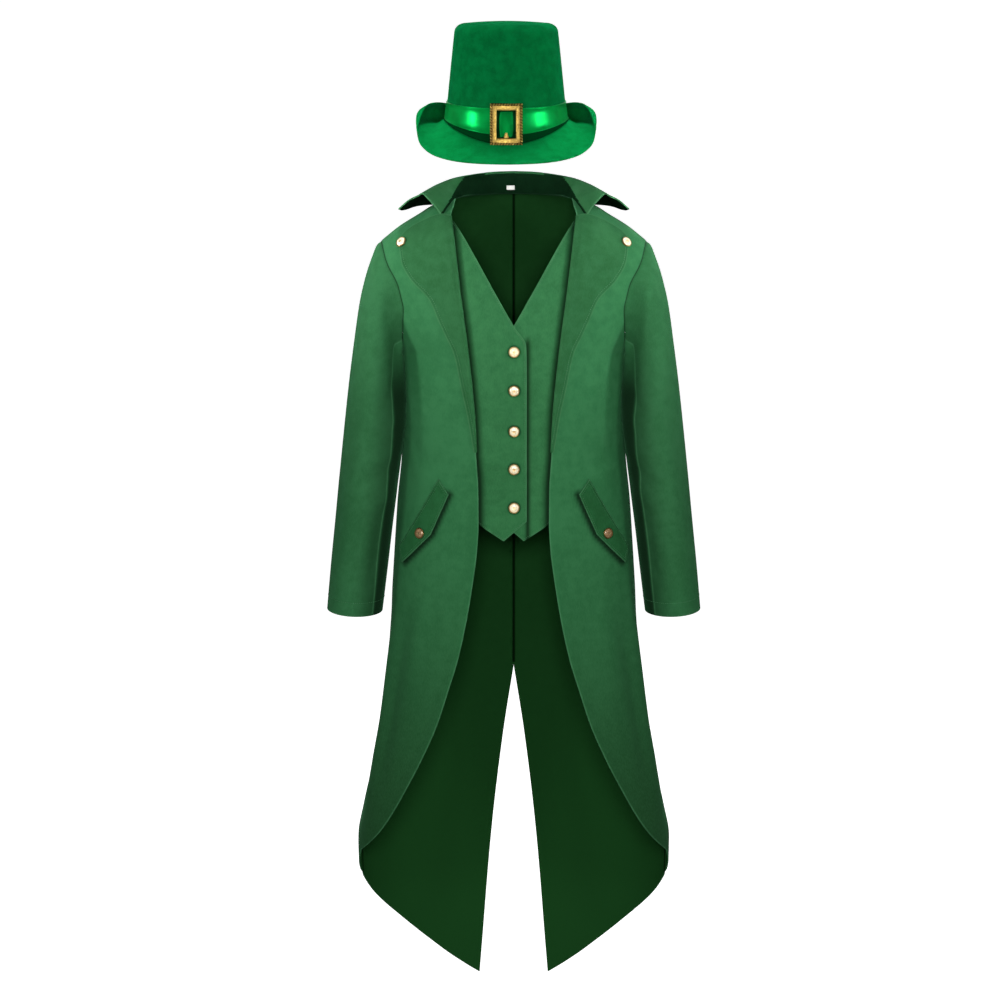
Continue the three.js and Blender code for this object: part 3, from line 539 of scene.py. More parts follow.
def suiting(name, light, deep, low, worn, sheen=0.1, gloss=0.08):
    """Brushed cloth: its light and deep tones, the painted shade at the hem, and worn, the tone of its
    fibres and of the painted highlight on its pressed edges.
    """
    material, shader, place = finish_named(
        name, Sheen_Weight=sheen, Sheen_Roughness=0.4, Specular_IOR_Level=gloss,
        Sheen_Tint=rgba(0.2, 0.8, 0.35))
    uv = place.node("ShaderNodeUVMap", {"uv_map": "cloth"})
    rim, seam, shade = [place.node("ShaderNodeAttribute", {"attribute_name": key}, output=2)
                        for key in ("rim", "seam", "shade")]
    blotches = place.noise(9.0, 4.0, 0.6)
    mottle = place.noise(70.0, 2.0)
    nap = place.stretched((1.0, 1.0, 0.25)).noise(900.0, 2.0)
    tone = (blotches * 0.55 + mottle * 0.45).between(0.36, 0.64)
    # A painted shade: low down the colour turns to the hem tone, as light falls from above.
    hem_shade_fade = place.part(2).between(HEM_LEVEL, CHEST_LEVEL)
    base_tone = hem_shade_fade.mixed(rgba(*low), tone.mixed(rgba(*deep), rgba(*light)))
    fibres = nap.between(0.3, 0.7)
    brushed = (fibres * 0.14).mixed(base_tone, rgba(*worn))
    # A painted highlight: the colour is lighter near a free edge, where a pressed edge catches the light.
    edge = (1 - rim.between(*EDGE_HIGHLIGHT)) * (mottle * 0.6 + 0.4) * EDGE_HIGHLIGHT_STRENGTH
    pressed = edge.mixed(brushed, rgba(*worn))
    # A painted shade along the seams, where the cloth dips.
    groove = (1 - seam.between(*SEAM_SHADE_REACH)) * SEAM_SHADE_STRENGTH
    # The painted shade: where the shade mark is 1, the colour is this dark share of the deep tone.
    painted_shade_colour = darker(deep, PAINTED_SHADE_SHARE)
    coloured = shade.mixed(groove.mixed(pressed, painted_shade_colour), painted_shade_colour)
    diagonal = uv.part(0) * TWILL_SLANT + uv.part(1)
    twill = (diagonal * (TWILL_LINES * 2 * math.pi)).sine()
    relief = twill * 0.25 + nap * 0.6 + mottle * 0.5
    connect(shader, Base_Color=coloured, Roughness=fibres * 0.12 + 0.8, Normal=relief.bump(0.35, 0.0006))
    return material


# Each suiting's third tone is the painted shade at the hem, and its fourth the lighter fibres and the
# painted highlight of pressed edges.
coat_cloth = suiting("coat_cloth", (0.0215, 0.113, 0.0405), (0.015, 0.092, 0.031),
                     (0.006, 0.035, 0.009), (0.05, 0.17, 0.075))
sleeve_cloth = suiting("sleeve_cloth", (0.019, 0.095, 0.034), (0.013, 0.075, 0.0245),
                       (0.0125, 0.076, 0.025), (0.05, 0.17, 0.075))
lapel_cloth = suiting("lapel_cloth", (0.016, 0.084, 0.028), (0.011, 0.066, 0.02),
                      (0.0105, 0.068, 0.02), (0.05, 0.16, 0.07))
vest_cloth = suiting("vest_cloth", (0.0205, 0.108, 0.0365), (0.0145, 0.086, 0.0275),
                     (0.012, 0.07, 0.02), (0.06, 0.19, 0.085))
flap_cloth = suiting("flap_cloth", (0.011, 0.08, 0.0235), (0.0075, 0.06, 0.016),
                     (0.007, 0.055, 0.015), (0.05, 0.15, 0.07))
# The wrong side is the same cloth, painted darker as the shade inside the coat.
wrong_side_painted_shade = suiting("wrong_side_painted_shade", (0.0068, 0.037, 0.0088), (0.0058, 0.033, 0.0076),
                     (0.0064, 0.036, 0.0082), (0.008, 0.05, 0.01), sheen=0.0, gloss=0.0)
# A still darker cloth paints the shade inside the collar's stand and on its other face.
collar_painted_shade = suiting("collar_painted_shade", (0.0024, 0.012, 0.0045), (0.0019, 0.009, 0.0034),
                       (0.0019, 0.009, 0.0034), (0.006, 0.03, 0.01), sheen=0.0, gloss=0.0)
print("suiting in seven tones")

# %% [markdown]
# Sewing thread is two or three plies twisted together. At this size the twist is
# only a flicker of tone, so fine noise mixes two shades of one colour, and the
# gloss does the rest.

# %% Thread
THREAD_SHADE = 0.7


def thread(name, colour):
    """Polyester thread, twisted, with a soft gloss."""
    material, shader, place = finish_named(name, Roughness=0.5, Specular_IOR_Level=0.4)
    twist = place.noise(2600.0, 1.0).between(0.35, 0.65)
    connect(shader, Base_Color=twist.mixed(darker(colour, THREAD_SHADE), rgba(*colour)))
    return material


green_thread = thread("green_thread", (0.03, 0.13, 0.05))
white_thread = thread("white_thread", (0.75, 0.75, 0.72))
print("green and white thread")

# %% [markdown]
# Stitches are small real shapes, so that they throw their own shadow. One
# stitch is an icosphere drawn out to a lozenge, copied along a line at an even
# pitch, and each row of sewing is joined into one mesh.

# %% Rows of stitches
STITCH_LENGTH = 2.6
STITCH_PITCH = 3.4
STITCH_THICKNESS = 0.6
STITCH_SUNK = 0.05


def sewn(name, lines, material, slot):
    """One mesh of stitches along these lines, each a pair of points and ways out."""
    bm = bmesh.new()
    shape = Matrix.Diagonal((STITCH_LENGTH, STITCH_THICKNESS, STITCH_THICKNESS, 1))
    count = 0
    for points, out in lines:
        along = lengths_along(points)
        for place in np.arange(STITCH_PITCH / 2, along[-1], STITCH_PITCH):
            at, ahead, way = [
                Vector([np.interp(where, along, rows[:, k]) for k in range(3)])
                for where, rows in ((place, points), (place + 0.5, points), (place, out))
            ]
            forward = (ahead - at).normalized()
            if forward.length < 0.5:
                continue
            sideways = way.cross(forward).normalized()
            turn = Matrix((forward, sideways, forward.cross(sideways))).transposed().to_4x4()
            lift = at + way.normalized() * (STITCH_THICKNESS / 2 - STITCH_SUNK)
            place_of_it = Matrix.Scale(MM, 4) @ Matrix.Translation(lift) @ turn @ shape
            bmesh.ops.create_icosphere(bm, subdivisions=1, radius=0.5, matrix=place_of_it)
            count += 1
    print(name, count, "stitches")
    return placed(new_object(name, bm, material), slot)


# %% [markdown]
# The coat fronts run from the hem to the shoulder seam. Their inner edge is the
# roll of the lapel, then the button stand, then the long cutaway to the side.
# Rows below the armpit end at the side seam, rows above it at the armhole.

# %% Coat fronts
FRONT_EDGE_HEIGHT = [77, 45, 12, -4, -56, -123, -190, -259, -320, -377, -432, -490, -533, -576,
                     -649, -708, -754, -813, -864, -910, -963, -992, -1024]
FRONT_EDGE_X = [93, 95.6, 101, 99.5, 94, 86, 77, 69, 63.5, 60.5, 56.5, 56, 58.5, 64,
                76, 89, 103, 122, 144, 167, 197, 217, 245]
HEM_TURN = [60, 80, 90, 100, 115, 130.5, 144.5, 156.3, 168, 180]
HEM_HEIGHT = [-980, -1024, -1046, -1068, -1106, -1145, -1185, -1220, -1250, -1274]
ARMHOLE_RISE = [0.045, 0.12, 0.206, 0.335, 0.44, 0.64, 0.805, 1]
ARMHOLE_TURN = [75, 65, 58.5, 54, 54.2, 59, 61.6, 63.4]
CUTAWAY_END = -1024
ROLL_END = -373
UNDER_ROLL = 3.0
EDGE_ROUNDS = 8
EDGE_STAND, EDGE_STAND_REACH = 2.6, 14
# A pocket flap's free edge, as x and height, and the shade just outside it.
FLAP_EDGE = ((102, -442), (130, -508), (174, -557))
FLAP_SHADE, FLAP_SHADE_REACH, FLAP_SHADE_GAP = 0.92, 4, 1.5

front_edge_at = curve(FRONT_EDGE_HEIGHT, FRONT_EDGE_X)
hem_at = curve(HEM_TURN, HEM_HEIGHT)
hem_turn_at = curve(HEM_HEIGHT[1:4], HEM_TURN[1:4])
armhole_at = {
    "front": curve([0] + ARMHOLE_RISE, [100] + ARMHOLE_TURN),
    "back": curve([0] + ARMHOLE_RISE, [80] + ARMHOLE_TURN),
}
CHEST_RISES = np.linspace(0, 1, 76)[1:] ** 1.25


def front_edge(height):
    """The front's own edge, which stops short inside the rolled lapel."""
    hidden = smoothstep(height, ROLL_END, ROLL_END + 60) * (1 - smoothstep(height, -10, 12))
    return front_edge_at(height) + UNDER_ROLL * hidden


def from_flap(x, height):
    """How far a point is from the line just outside a pocket flap's free edge."""
    nearest = np.full(x.shape, 1000.0)
    for (x0, h0), (x1, h1) in zip(FLAP_EDGE, FLAP_EDGE[1:]):
        ahead, rise = x1 - x0, h1 - h0
        length = math.hypot(ahead, rise)
        share = np.clip(((x - x0) * ahead + (height - h0) * rise) / length ** 2, 0, 1)
        nearest = np.minimum(nearest, np.hypot(x - x0 - ahead * share, height - h0 - rise * share))
    return np.maximum(nearest - FLAP_SHADE_GAP, 0)


def coat_front(side):
    """The panel, and its shade beside the pocket flap. Skirt rows come first, then the chest's."""
    share = stations(56)[None, :]
    heights = np.concatenate([np.linspace(-1067, CUTAWAY_END, 9)[:-1],
                              np.linspace(CUTAWAY_END, ARMPIT, 150)])
    inner = np.where(heights < CUTAWAY_END, np.radians(hem_turn_at(heights)),
                     turn_of(front_edge(heights), heights))[:, None]
    skirt_turn = mix(inner, SIDE_SEAM, share)
    rises = CHEST_RISES
    at = height_of(turn_of(NECK_HALF_WIDTH, 0), rises)
    for _ in range(EDGE_ROUNDS):
        at = height_of(turn_of(front_edge(at), at), rises)
    first = turn_of(front_edge(at), at)[:, None]
    last = np.radians(armhole_at["front"](rises))[:, None]
    chest_turn = mix(first, last, share)
    chest_height = height_of(chest_turn, rises[:, None])
    turn = np.concatenate([skirt_turn, chest_turn])
    height = np.concatenate([np.broadcast_to(heights[:, None], skirt_turn.shape), chest_height])
    panel = Panel(*creased_body(turn, height, side), side)
    below_roll = (1 - smoothstep(height, ROLL_END - 60, ROLL_END + 5)) * smoothstep(height, -1000, -900)
    beside_edge = np.exp(-((panel.distance(["start"]) / EDGE_STAND_REACH) ** 2))
    outside_flap = from_flap(half_width_at(height) * np.sin(turn), height)
    shade = FLAP_SHADE * np.exp(-((outside_flap / FLAP_SHADE_REACH) ** 2))
    return panel.lifted(EDGE_STAND * below_roll * beside_edge), shade


for side in (RIGHT, LEFT):
    panel, shade = coat_front(side)
    name = "coat_front_" + SIDE_NAMES[side]
    piece = sheet_of(name + "_cloth", panel, COAT_CLOTH, (coat_cloth, wrong_side_painted_shade), ["start", "bottom"],
                     ["end", "top"], shade=shade)
    placed(piece, "coat_cloth", name)
    print(name, round(cloth_area(panel), 4), "square metres")

# %% [markdown]
# The backs have the seam down their middle, the vent below it and the pointed
# tails. The skirt's rows follow the slanting hem and flatten towards the waist.

# %% Coat backs
SKIRT = -700
# The halves reach a hair past the middle, so that no light shows through the seam.
BACK_LAP = 0.4
BACK_MIDDLE = math.pi + 0.0022
VENT_TOP = -746
VENT_HEIGHT = [VENT_TOP, -862, -1018, -1260]
VENT_X = [0.0, 18, 36, 56]
vent_at = curve(VENT_HEIGHT, VENT_X)


def coat_back(side):
    """The panel, and how many of its rows lie below the top of the vent."""
    share = stations(60)[None, :]
    drops = np.linspace(1, 0, 86)[:-1]
    inner = np.full(len(drops), math.pi)
    for _ in range(EDGE_ROUNDS):
        height = SKIRT + (hem_at(np.degrees(inner)) - SKIRT) * drops
        inner = math.pi - turn_of(np.where(height < VENT_TOP, vent_at(height), -BACK_LAP), height)
    skirt_turn = mix(inner[:, None], SIDE_SEAM, share)
    skirt_height = SKIRT + (hem_at(np.degrees(skirt_turn)) - SKIRT) * drops[:, None]
    waist_height, waist_turn = np.meshgrid(
        np.linspace(SKIRT, ARMPIT, 72), mix(BACK_MIDDLE, SIDE_SEAM, share[0]), indexing="ij")
    last = math.pi - np.radians(armhole_at["back"](CHEST_RISES))[:, None]
    chest_turn = mix(BACK_MIDDLE, last, share)
    chest_height = height_of(math.pi - chest_turn, CHEST_RISES[:, None])
    turn = np.concatenate([skirt_turn, waist_turn, chest_turn])
    height = np.concatenate([skirt_height, waist_height, chest_height])
    return Panel(*creased_body(turn, height, side), side), int((height[:, 0] < VENT_TOP).sum())


for side in (RIGHT, LEFT):
    panel, vent_rows = coat_back(side)
    name = "coat_back_" + SIDE_NAMES[side]
    free = ["bottom", ("start", slice(vent_rows))]
    sewn_to = ["end", "top", ("start", slice(vent_rows, None))]
    piece = sheet_of(name + "_cloth", panel, COAT_CLOTH, (coat_cloth, wrong_side_painted_shade), free, sewn_to)
    placed(piece, "coat_cloth", name)
    print(name, round(cloth_area(panel), 4), "square metres")

# %% [markdown]
# A lapel is the front's facing, turned back on the chest and buttoned down. Its
# inner columns roll round the front's edge, and from there it lies flat. The
# top edge bows a little and the free edge runs down to the end of the roll.

# %% Lapels
LAPEL_TOP_ALONG = [0, 0.2, 0.5, 0.82, 1]
LAPEL_TOP_X = [103, 118, 142, 168, 182.4]
LAPEL_TOP_HEIGHT = [13, 14.5, 9, -8, -29]
LAPEL_EDGE_ALONG = [0, 0.11, 0.2, 0.33, 0.42, 0.5, 0.58, 0.72, 0.86, 1]
LAPEL_EDGE_X = [182.4, 178, 165, 133, 120, 108.8, 95, 83.7, 72.5, 63.5]
LAPEL_EDGE_HEIGHT = [-29, -70, -95, -130, -160, -184, -214, -267, -320, ROLL_END]
ROLL_COLUMNS = 9
ROLL_ARC = 0.9 * math.pi
LAPEL_SWELL = 3.0


def lapel(side):
    top_x, top_height = [curve(LAPEL_TOP_ALONG, row) for row in (LAPEL_TOP_X, LAPEL_TOP_HEIGHT)]
    edge_x, edge_height = [curve(LAPEL_EDGE_ALONG, row) for row in (LAPEL_EDGE_X, LAPEL_EDGE_HEIGHT)]
    t = (np.linspace(0, 1, 110) ** 1.3)[:, None]
    s = stations(30, 0.02)[None, :]
    fold_height = mix(LAPEL_TOP_HEIGHT[0], ROLL_END, t)
    fold_x = front_edge_at(fold_height)
    fade = (1 - t) ** 4
    straight_x = mix(LAPEL_TOP_X[0], LAPEL_TOP_X[-1], s)
    straight_height = mix(LAPEL_TOP_HEIGHT[0], LAPEL_TOP_HEIGHT[-1], s)
    x = mix(fold_x, edge_x(t), s) + fade * (top_x(s) - straight_x)
    height = mix(fold_height, edge_height(t), s) + fade * (top_height(s) - straight_height)
    points, out = creased_body(turn_of(x, height), height, side)
    lift = LAPEL_LIFT + LAPEL_SWELL * smoothstep(s, 0, 0.12) * (1 - smoothstep(s, 0.1, 0.6)) * (1 - t)
    flat = points + out * lift[..., None]
    low = -COAT_CLOTH
    radius = (LAPEL_LIFT - low) / 2
    inwards = points[:, :1] - points[:, 4:5]
    inwards /= np.linalg.norm(inwards, axis=-1, keepdims=True)
    angle = np.linspace(ROLL_ARC, 0, ROLL_COLUMNS + 1)[:-1][None, :, None]
    around = out[:, :1] * (low + radius + radius * np.cos(angle)) + inwards * radius * np.sin(angle)
    roll = points[:, :1] + around
    every = np.concatenate([roll, flat], axis=1)
    ways = outward(every)
    ways *= np.sign((ways[:, -1:] * out[:, -1:]).sum(-1, keepdims=True))
    return Panel(every[::-1], ways[::-1], side)


for side in (RIGHT, LEFT):
    panel = lapel(side)
    name = "lapel_" + SIDE_NAMES[side]
    piece = sheet_of(name + "_cloth", panel, LAPEL_CLOTH, (lapel_cloth,), ["end", "top"])
    placed(piece, "facing_cloth", name)
    sewn(name + "_stitches", [panel.line("end", 5.5, (0.03, 0.99))], green_thread, "facing_cloth")
    print(name, round(cloth_area(panel), 4), "square metres")

# %% [markdown]
# The waistcoat is mock: two fronts, sewn in behind the coat's edges. The
# wearer's right one laps over the left one. A few short drag lines show between
# the buttons, where the cloth is pulled together.

# %% Mock waistcoat fronts
VEST_EDGE_HEIGHT = [10, -171, -200, -230, -484]
VEST_EDGE_X = [99, -1.6, -19.8, -20.8, -20.8]
VEST_HEM_X = [-20.8, 16.3, 51.5, 100]
VEST_HEM_HEIGHT = [-484, -515.5, -493, -462]
VEST_TOP, VEST_LOW = 8, -462
VEST_HEM_FROM = -330
# From x and height, to x and height, half width, depth. x counts from the middle to each front's side.
VEST_CREASES = {
    RIGHT: [(48, -404, 8, -396, 4, -2.4), (50, -456, 6, -446, 5, -2.2), (46, -432, 4, -428, 6, 2.0),
            (52, -480, 18, -472, 5, -2.0), (30, -505, 6, -488, 6, 1.6), (42, -337, 8, -330, 7, -1.4),
            (60, -300, 30, -260, 12, 1.2), (44, -418, 10, -412, 5, 1.2)],
    LEFT: [(52, -405, 28, -399, 5, -2.0), (50, -455, 26, -448, 6, 1.7), (54, -350, 30, -336, 8, -1.4),
           (60, -290, 34, -250, 12, 0.9)],
}
VEST_BUTTON_X = -0.5
VEST_BUTTON_HEIGHTS = [-210, -273, -339, -400, -462]
PULL_X, PULL_WIDTH, PULL_HEIGHT, PULL_DEPTH = 0.5, 16, 7, 0.7
UNDERLAP, UNDERLAP_FROM, UNDERLAP_TO = 2.2, 22, 58
EDGE_DIP, EDGE_DIP_REACH = 3.0, 14
LAP_X = 22.5
# How dark the shade is, and how far it reaches, beside the coat's edge, the lap and a button.
COAT_SHADE, COAT_SHADE_REACH = 0.9, 7.5
LAP_SHADE, LAP_SHADE_REACH = 0.92, 4.2
BUTTON_SHADE, BUTTON_SHADE_REACH = 0.8, 2


def vest_front(side):
    """The panel and its shade. Its rows run level at the top and follow the points of the hem."""
    edge_at = curve(VEST_EDGE_HEIGHT, VEST_EDGE_X)
    row = np.linspace(VEST_TOP, VEST_LOW, 220)[::-1, None]
    share = stations(60, 0.012)[None, :]
    widened = np.minimum(1, (VEST_TOP - row) / 60)
    outer = front_edge_at(row) + mix(9, 34, widened)
    x = mix(edge_at(row), outer, share)
    drop = smoothstep(-row, -VEST_HEM_FROM, -VEST_LOW)
    height = row + drop * (np.interp(x, VEST_HEM_X, VEST_HEM_HEIGHT) - VEST_LOW)
    points, out = creased_body(turn_of(x, height), height, side)
    under = UNDERLAP * (1 - smoothstep(x, UNDERLAP_FROM, UNDERLAP_TO)) * (side == LEFT)
    from_edge = front_edge_at(height) - x
    free = smoothstep(from_edge, 0, EDGE_DIP_REACH)
    own = creased(x, height, VEST_CREASES[side], 1)
    for pull in VEST_BUTTON_HEIGHTS:
        off = np.hypot((x - PULL_X) / PULL_WIDTH, (height - pull) / PULL_HEIGHT)
        own = own - PULL_DEPTH * np.exp(-(off ** 2)) * (side == RIGHT)
    lift = VEST_LIFT - under + own * free + 0.8 * free - EDGE_DIP * (1 - free)
    shade = COAT_SHADE * np.exp(-((np.maximum(from_edge, 0) / COAT_SHADE_REACH) ** 2))
    beside_lap = np.exp(-(((x - LAP_X) / LAP_SHADE_REACH) ** 2))
    beside_lap = beside_lap * smoothstep(-height, 180, 200) * (side == LEFT)
    shade = np.maximum(shade, LAP_SHADE * beside_lap)
    for pull in VEST_BUTTON_HEIGHTS:
        from_rim = np.hypot(x - VEST_BUTTON_X, height - pull) - BUTTON_RADIUS
        ring = np.exp(-((from_rim / BUTTON_SHADE_REACH) ** 2))
        shade = np.maximum(shade, BUTTON_SHADE * ring * (side == RIGHT))
    return Panel(points + out * lift[..., None], out, side), shade


for side in (RIGHT, LEFT):
    panel, shade = vest_front(side)
    name = "vest_" + SIDE_NAMES[side]
    free = ["start", "bottom"]
    piece = sheet_of(name + "_cloth", panel, VEST_CLOTH, (vest_cloth, wrong_side_painted_shade), free, shade=shade)
    placed(piece, "facing_cloth", name)
    lines = [panel.line("start", 3.2, (0.01, 0.99)), panel.line("bottom", 3.2, (0.05, 0.95))]
    sewn(name + "_stitches", lines, green_thread, "facing_cloth")
    print(name, round(cloth_area(panel), 4), "square metres")

# %% [markdown]
# Each pocket flap is caught in a slanting seam and has a pointed free edge that
# stands off the coat. It is edged with one row of stitches and held along its
# seam by two.

# %% Pocket flaps
FLAP_SEAM = ((119.5, -418), (182.5, -531))
FLAP_POINT = 0.42
FLAP_REST = 0.8
FLAP_STAND = 4.4
FLAP_SWELL = 0.8
FLAP_CATCH, FLAP_CATCH_REACH = 1.6, 0.07


def pocket_flap(side):
    """s runs along the flap from head to foot, past its point, and t from the seam to the free edge."""
    to_point, past_point = stations(18, 0.03), stations(22, 0.03)[1:]
    s = np.concatenate([to_point * FLAP_POINT, FLAP_POINT + (1 - FLAP_POINT) * past_point])
    t = stations(26, 0.03)[:, None]
    seam_x, seam_height = [mix(a, b, s) for a, b in zip(*FLAP_SEAM)]
    edge_x, edge_height = [np.interp(s, (0, FLAP_POINT, 1), values) for values in zip(*FLAP_EDGE)]
    x = mix(seam_x, edge_x, t)
    height = mix(seam_height, edge_height, t)
    points, out = creased_body(turn_of(x, height), height, side)
    lift = FLAP_CLOTH + FLAP_REST + FLAP_STAND * t ** 1.6 + FLAP_SWELL * np.sin(math.pi * t)
    lift = lift - FLAP_CATCH * np.exp(-(t / FLAP_CATCH_REACH) ** 2)
    return Panel((points + out * (lift + 0 * x)[..., None])[::-1], out[::-1], side)


for side in (RIGHT, LEFT):
    panel = pocket_flap(side)
    name = "pocket_flap_" + SIDE_NAMES[side]
    piece = sheet_of(name + "_cloth", panel, FLAP_CLOTH, (flap_cloth,), ["start", "end", "bottom", "top"])
    placed(piece, "flap_cloth", name)
    edge_rows = [panel.line(border, 4.5, (0.12, 0.88)) for border in ("start", "end")]
    edge_rows.append(panel.line("bottom", 4.5, (0.04, 0.96)))
    seam_rows = [panel.line("top", 2.2), panel.line("top", 6.5, (0.05, 0.95))]
    sewn(name + "_stitches", edge_rows + seam_rows, green_thread, "flap_cloth")
    print(name, round(cloth_area(panel), 5), "square metres")

# %% [markdown]
# A sleeve is a tube in two pieces, cut so that it bends forward at the elbow.
# Its head follows the armhole and tucks a little way under the coat's edge,
# where the real one is sewn. The rings below it are given by where their outer
# and inner sides lie. Fine rings come from a smooth line through the coarse
# ones. A soft swell next to the body is the fullness of the cloth under the arm.

# %% Sleeves
SLEEVE_OUTER_X = [227, 237.5, 246, 255.5, 263.5, 271, 278, 285, 292.5, 298.5]
SLEEVE_OUTER_Z = [-72, -104, -142, -207, -270, -340, -410, -485, -562, -632]
SLEEVE_INNER_X = [183, 183.2, 182.2, 180.2, 178.6, 179.4, 185.5, 193.5, 201.5, 209.5]
SLEEVE_INNER_Z = [-238, -252, -272, -304, -340, -380, -436, -500, -568, -634]
SLEEVE_DEPTH = [71, 72, 71, 69, 66, 63, 61, 57, 53, 50]
SLEEVE_MIDDLE = [-3, -6, -11, -17, -22, -26, -28, -30, -34, -38]
CUFF_DROP = 7
ARMPIT_EASE = 3
HEAD_TUCK, TUCK_GAP = 3.5, 0.3
HEAD_DROP = 0.8
SHOULDER_START = 5
UNDERARM = (100, 160)
CREASES_START = (25, 90)
SWELL_START = (4, 24)
SLEEVE_ROWS = 130
ARM_SHADE, UPPER_SHARE = 0.93, 0.6
HEAD_SHADE, HEAD_SHADE_REACH = 0.8, 4
# How far up the armhole the sleeve's two seams end.
SEAM_RISE = {"front": 0.12, "back": 0.206}
CUFF_STITCHES = 22
SLEEVE_DEGREE = 1.1
SLEEVE_CREASE_SHIFT = 3
SLEEVE_CREASE_SEED = 41
# From degrees round the sleeve and height, to the same, half width, depth. 0 is outside, 90 front.
SLEEVE_CREASES = [
    (150, -250, 70, -330, 14, -3.0), (160, -285, 84, -372, 13, 2.4), (140, -330, 60, -350, 12, -2.0),
    (150, -392, 62, -430, 12, -3.2), (156, -420, 70, -470, 13, 2.6), (132, -372, 40, -392, 16, 1.8),
    (112, -450, 108, -600, 12, -3.4), (84, -470, 80, -610, 16, 2.0), (40, -260, 30, -430, 24, -2.2),
    (-40, -230, -100, -330, 18, -2.8), (-60, -290, -130, -390, 16, 2.6), (-50, -390, -140, -430, 14, -3.0),
    (-30, -430, -120, -480, 17, 2.2), (-80, -500, -84, -620, 16, -2.2), (10, -120, 24, -230, 20, 1.6),
    (60, -150, 96, -240, 15, -1.8),
]
SLEEVE_SWELL = (150, -120, 150, -400, 24, 11)


def armhole_line(which, side):
    """One edge of the armhole from the shoulder seam down to the armpit: points, ways out, shares."""
    rises = np.linspace(1, 0, 400) ** 1.2
    turn = np.radians(armhole_at[which](rises))
    height = height_of(turn, rises)
    points, out = creased_body(turn if which == "front" else math.pi - turn, height, side)
    along = lengths_along(points)
    share = along / along[-1]
    return curve(share, points), curve(share, out), curve(rises[::-1], share[::-1])


def sleeve(side, degrees):
    """The part of the tube between the first and last of these degrees, front at 90."""
    front, back = armhole_line("front", side), armhole_line("back", side)
    turn = np.radians(degrees)
    wrapped = np.where(degrees > 180, degrees - 360, degrees)
    share = np.abs(wrapped) / 180
    ahead = (wrapped >= 0)[:, None]
    head = np.where(ahead, front[0](share), back[0](share))
    head_out = np.where(ahead, front[1](share), back[1](share))
    across = (np.cos(turn) + 1) / 2
    outer_x, outer_z, inner_x, inner_z, depth, middle = [
        np.array(values)[:, None] for values in (SLEEVE_OUTER_X, SLEEVE_OUTER_Z, SLEEVE_INNER_X,
                                                 SLEEVE_INNER_Z, SLEEVE_DEPTH, SLEEVE_MIDDLE)]
    rings = np.stack([mix(inner_x, outer_x, across), middle - depth * np.sin(turn),
                      mix(inner_z, outer_z, across)], axis=-1)
    rings[-1, :, 2] -= CUFF_DROP * np.sin(turn)
    under = smoothstep(np.minimum(np.abs(degrees), 360 - degrees), *UNDERARM)[:, None]
    away = rings[0] - head
    away -= (away * head_out).sum(-1, keepdims=True) * head_out
    away /= np.linalg.norm(away, axis=-1, keepdims=True)
    tucked = head - away * HEAD_TUCK - head_out * (COAT_CLOTH + TUCK_GAP)
    shoulder = head + away * SHOULDER_START + head_out * mix(-HEAD_DROP, ARMPIT_EASE, under)
    coarse = np.concatenate([tucked[None], shoulder[None], rings])
    lengths = np.linalg.norm(np.diff(coarse, axis=0), axis=-1).mean(axis=1)
    along = np.concatenate([[0], np.cumsum(lengths)])
    where = np.concatenate([[0, 2.2, 4.5], np.linspace(8, along[-1] - 4, SLEEVE_ROWS), [along[-1]]])
    points = curve(along, coarse)(where)
    out = outward(points)
    out *= np.sign((out[20] * (points[20] - points[20].mean(axis=0))).sum(-1).mean() or 1)
    fade = smoothstep(where, *CREASES_START)[:, None]
    creases = varied(SLEEVE_CREASES, side, SLEEVE_CREASE_SHIFT, SLEEVE_CREASE_SEED)
    lift = creased(wrapped[None, :], points[..., 2], creases, SLEEVE_DEGREE)
    beyond = creased(degrees[None, :], points[..., 2], creases, SLEEVE_DEGREE)
    lift = np.where(degrees[None, :] > 180, beyond + lift, lift)
    swell = creased(degrees[None, :], points[..., 2], [SLEEVE_SWELL], SLEEVE_DEGREE)
    lift = lift * fade + swell * smoothstep(where, *SWELL_START)[:, None]
    return Panel((points + out * lift[..., None])[::-1], out[::-1], side)


def sleeve_shade(panel, part):
    """The under sleeve is shaded by the body, and so is the upper one beside it, as is the sleeve's head."""
    across, drop = stations(panel.points.shape[1] - 1)[None, :], -panel.points[..., 2]
    if part == "under":
        near = smoothstep(across, -0.03, 0.06) * (1 - smoothstep(across, 0.6, 0.95))
        shade = near * smoothstep(drop, 200, 290)
    else:
        shade = UPPER_SHARE * smoothstep(across, 0.76, 1) * smoothstep(drop, 130, 290)
    at_head = np.exp(-((panel.distance(["top"]) / HEAD_SHADE_REACH) ** 2))
    return np.maximum(ARM_SHADE * shade, HEAD_SHADE * at_head)


for side in (RIGHT, LEFT):
    front_seam = 180 * float(armhole_line("front", side)[2](SEAM_RISE["front"]))
    back_seam = -180 * float(armhole_line("back", side)[2](SEAM_RISE["back"]))
    pieces = {
        "upper": (mix(back_seam, front_seam, stations(64, 0.006)), (0.40, 0.60), 0.165),
        "under": (mix(front_seam, back_seam + 360, stations(36, 0.012)), (0.18, 0.44), 0.062),
    }
    for part, (degrees, flat, area) in pieces.items():
        panel = sleeve(side, degrees)
        name = f"sleeve_{part}_{SIDE_NAMES[side]}"
        pressed = ["start", "end", "bottom"]
        piece = sheet_of(name + "_cloth", panel, SLEEVE_CLOTH, (sleeve_cloth, wrong_side_painted_shade), pressed, ["top"],
                         shade=sleeve_shade(panel, part))
        placed(piece, "coat_cloth", name)
        sewn(name + "_stitches", [panel.line("bottom", CUFF_STITCHES)], green_thread, "coat_cloth")
        print(name, round(cloth_area(panel), 4), "square metres")
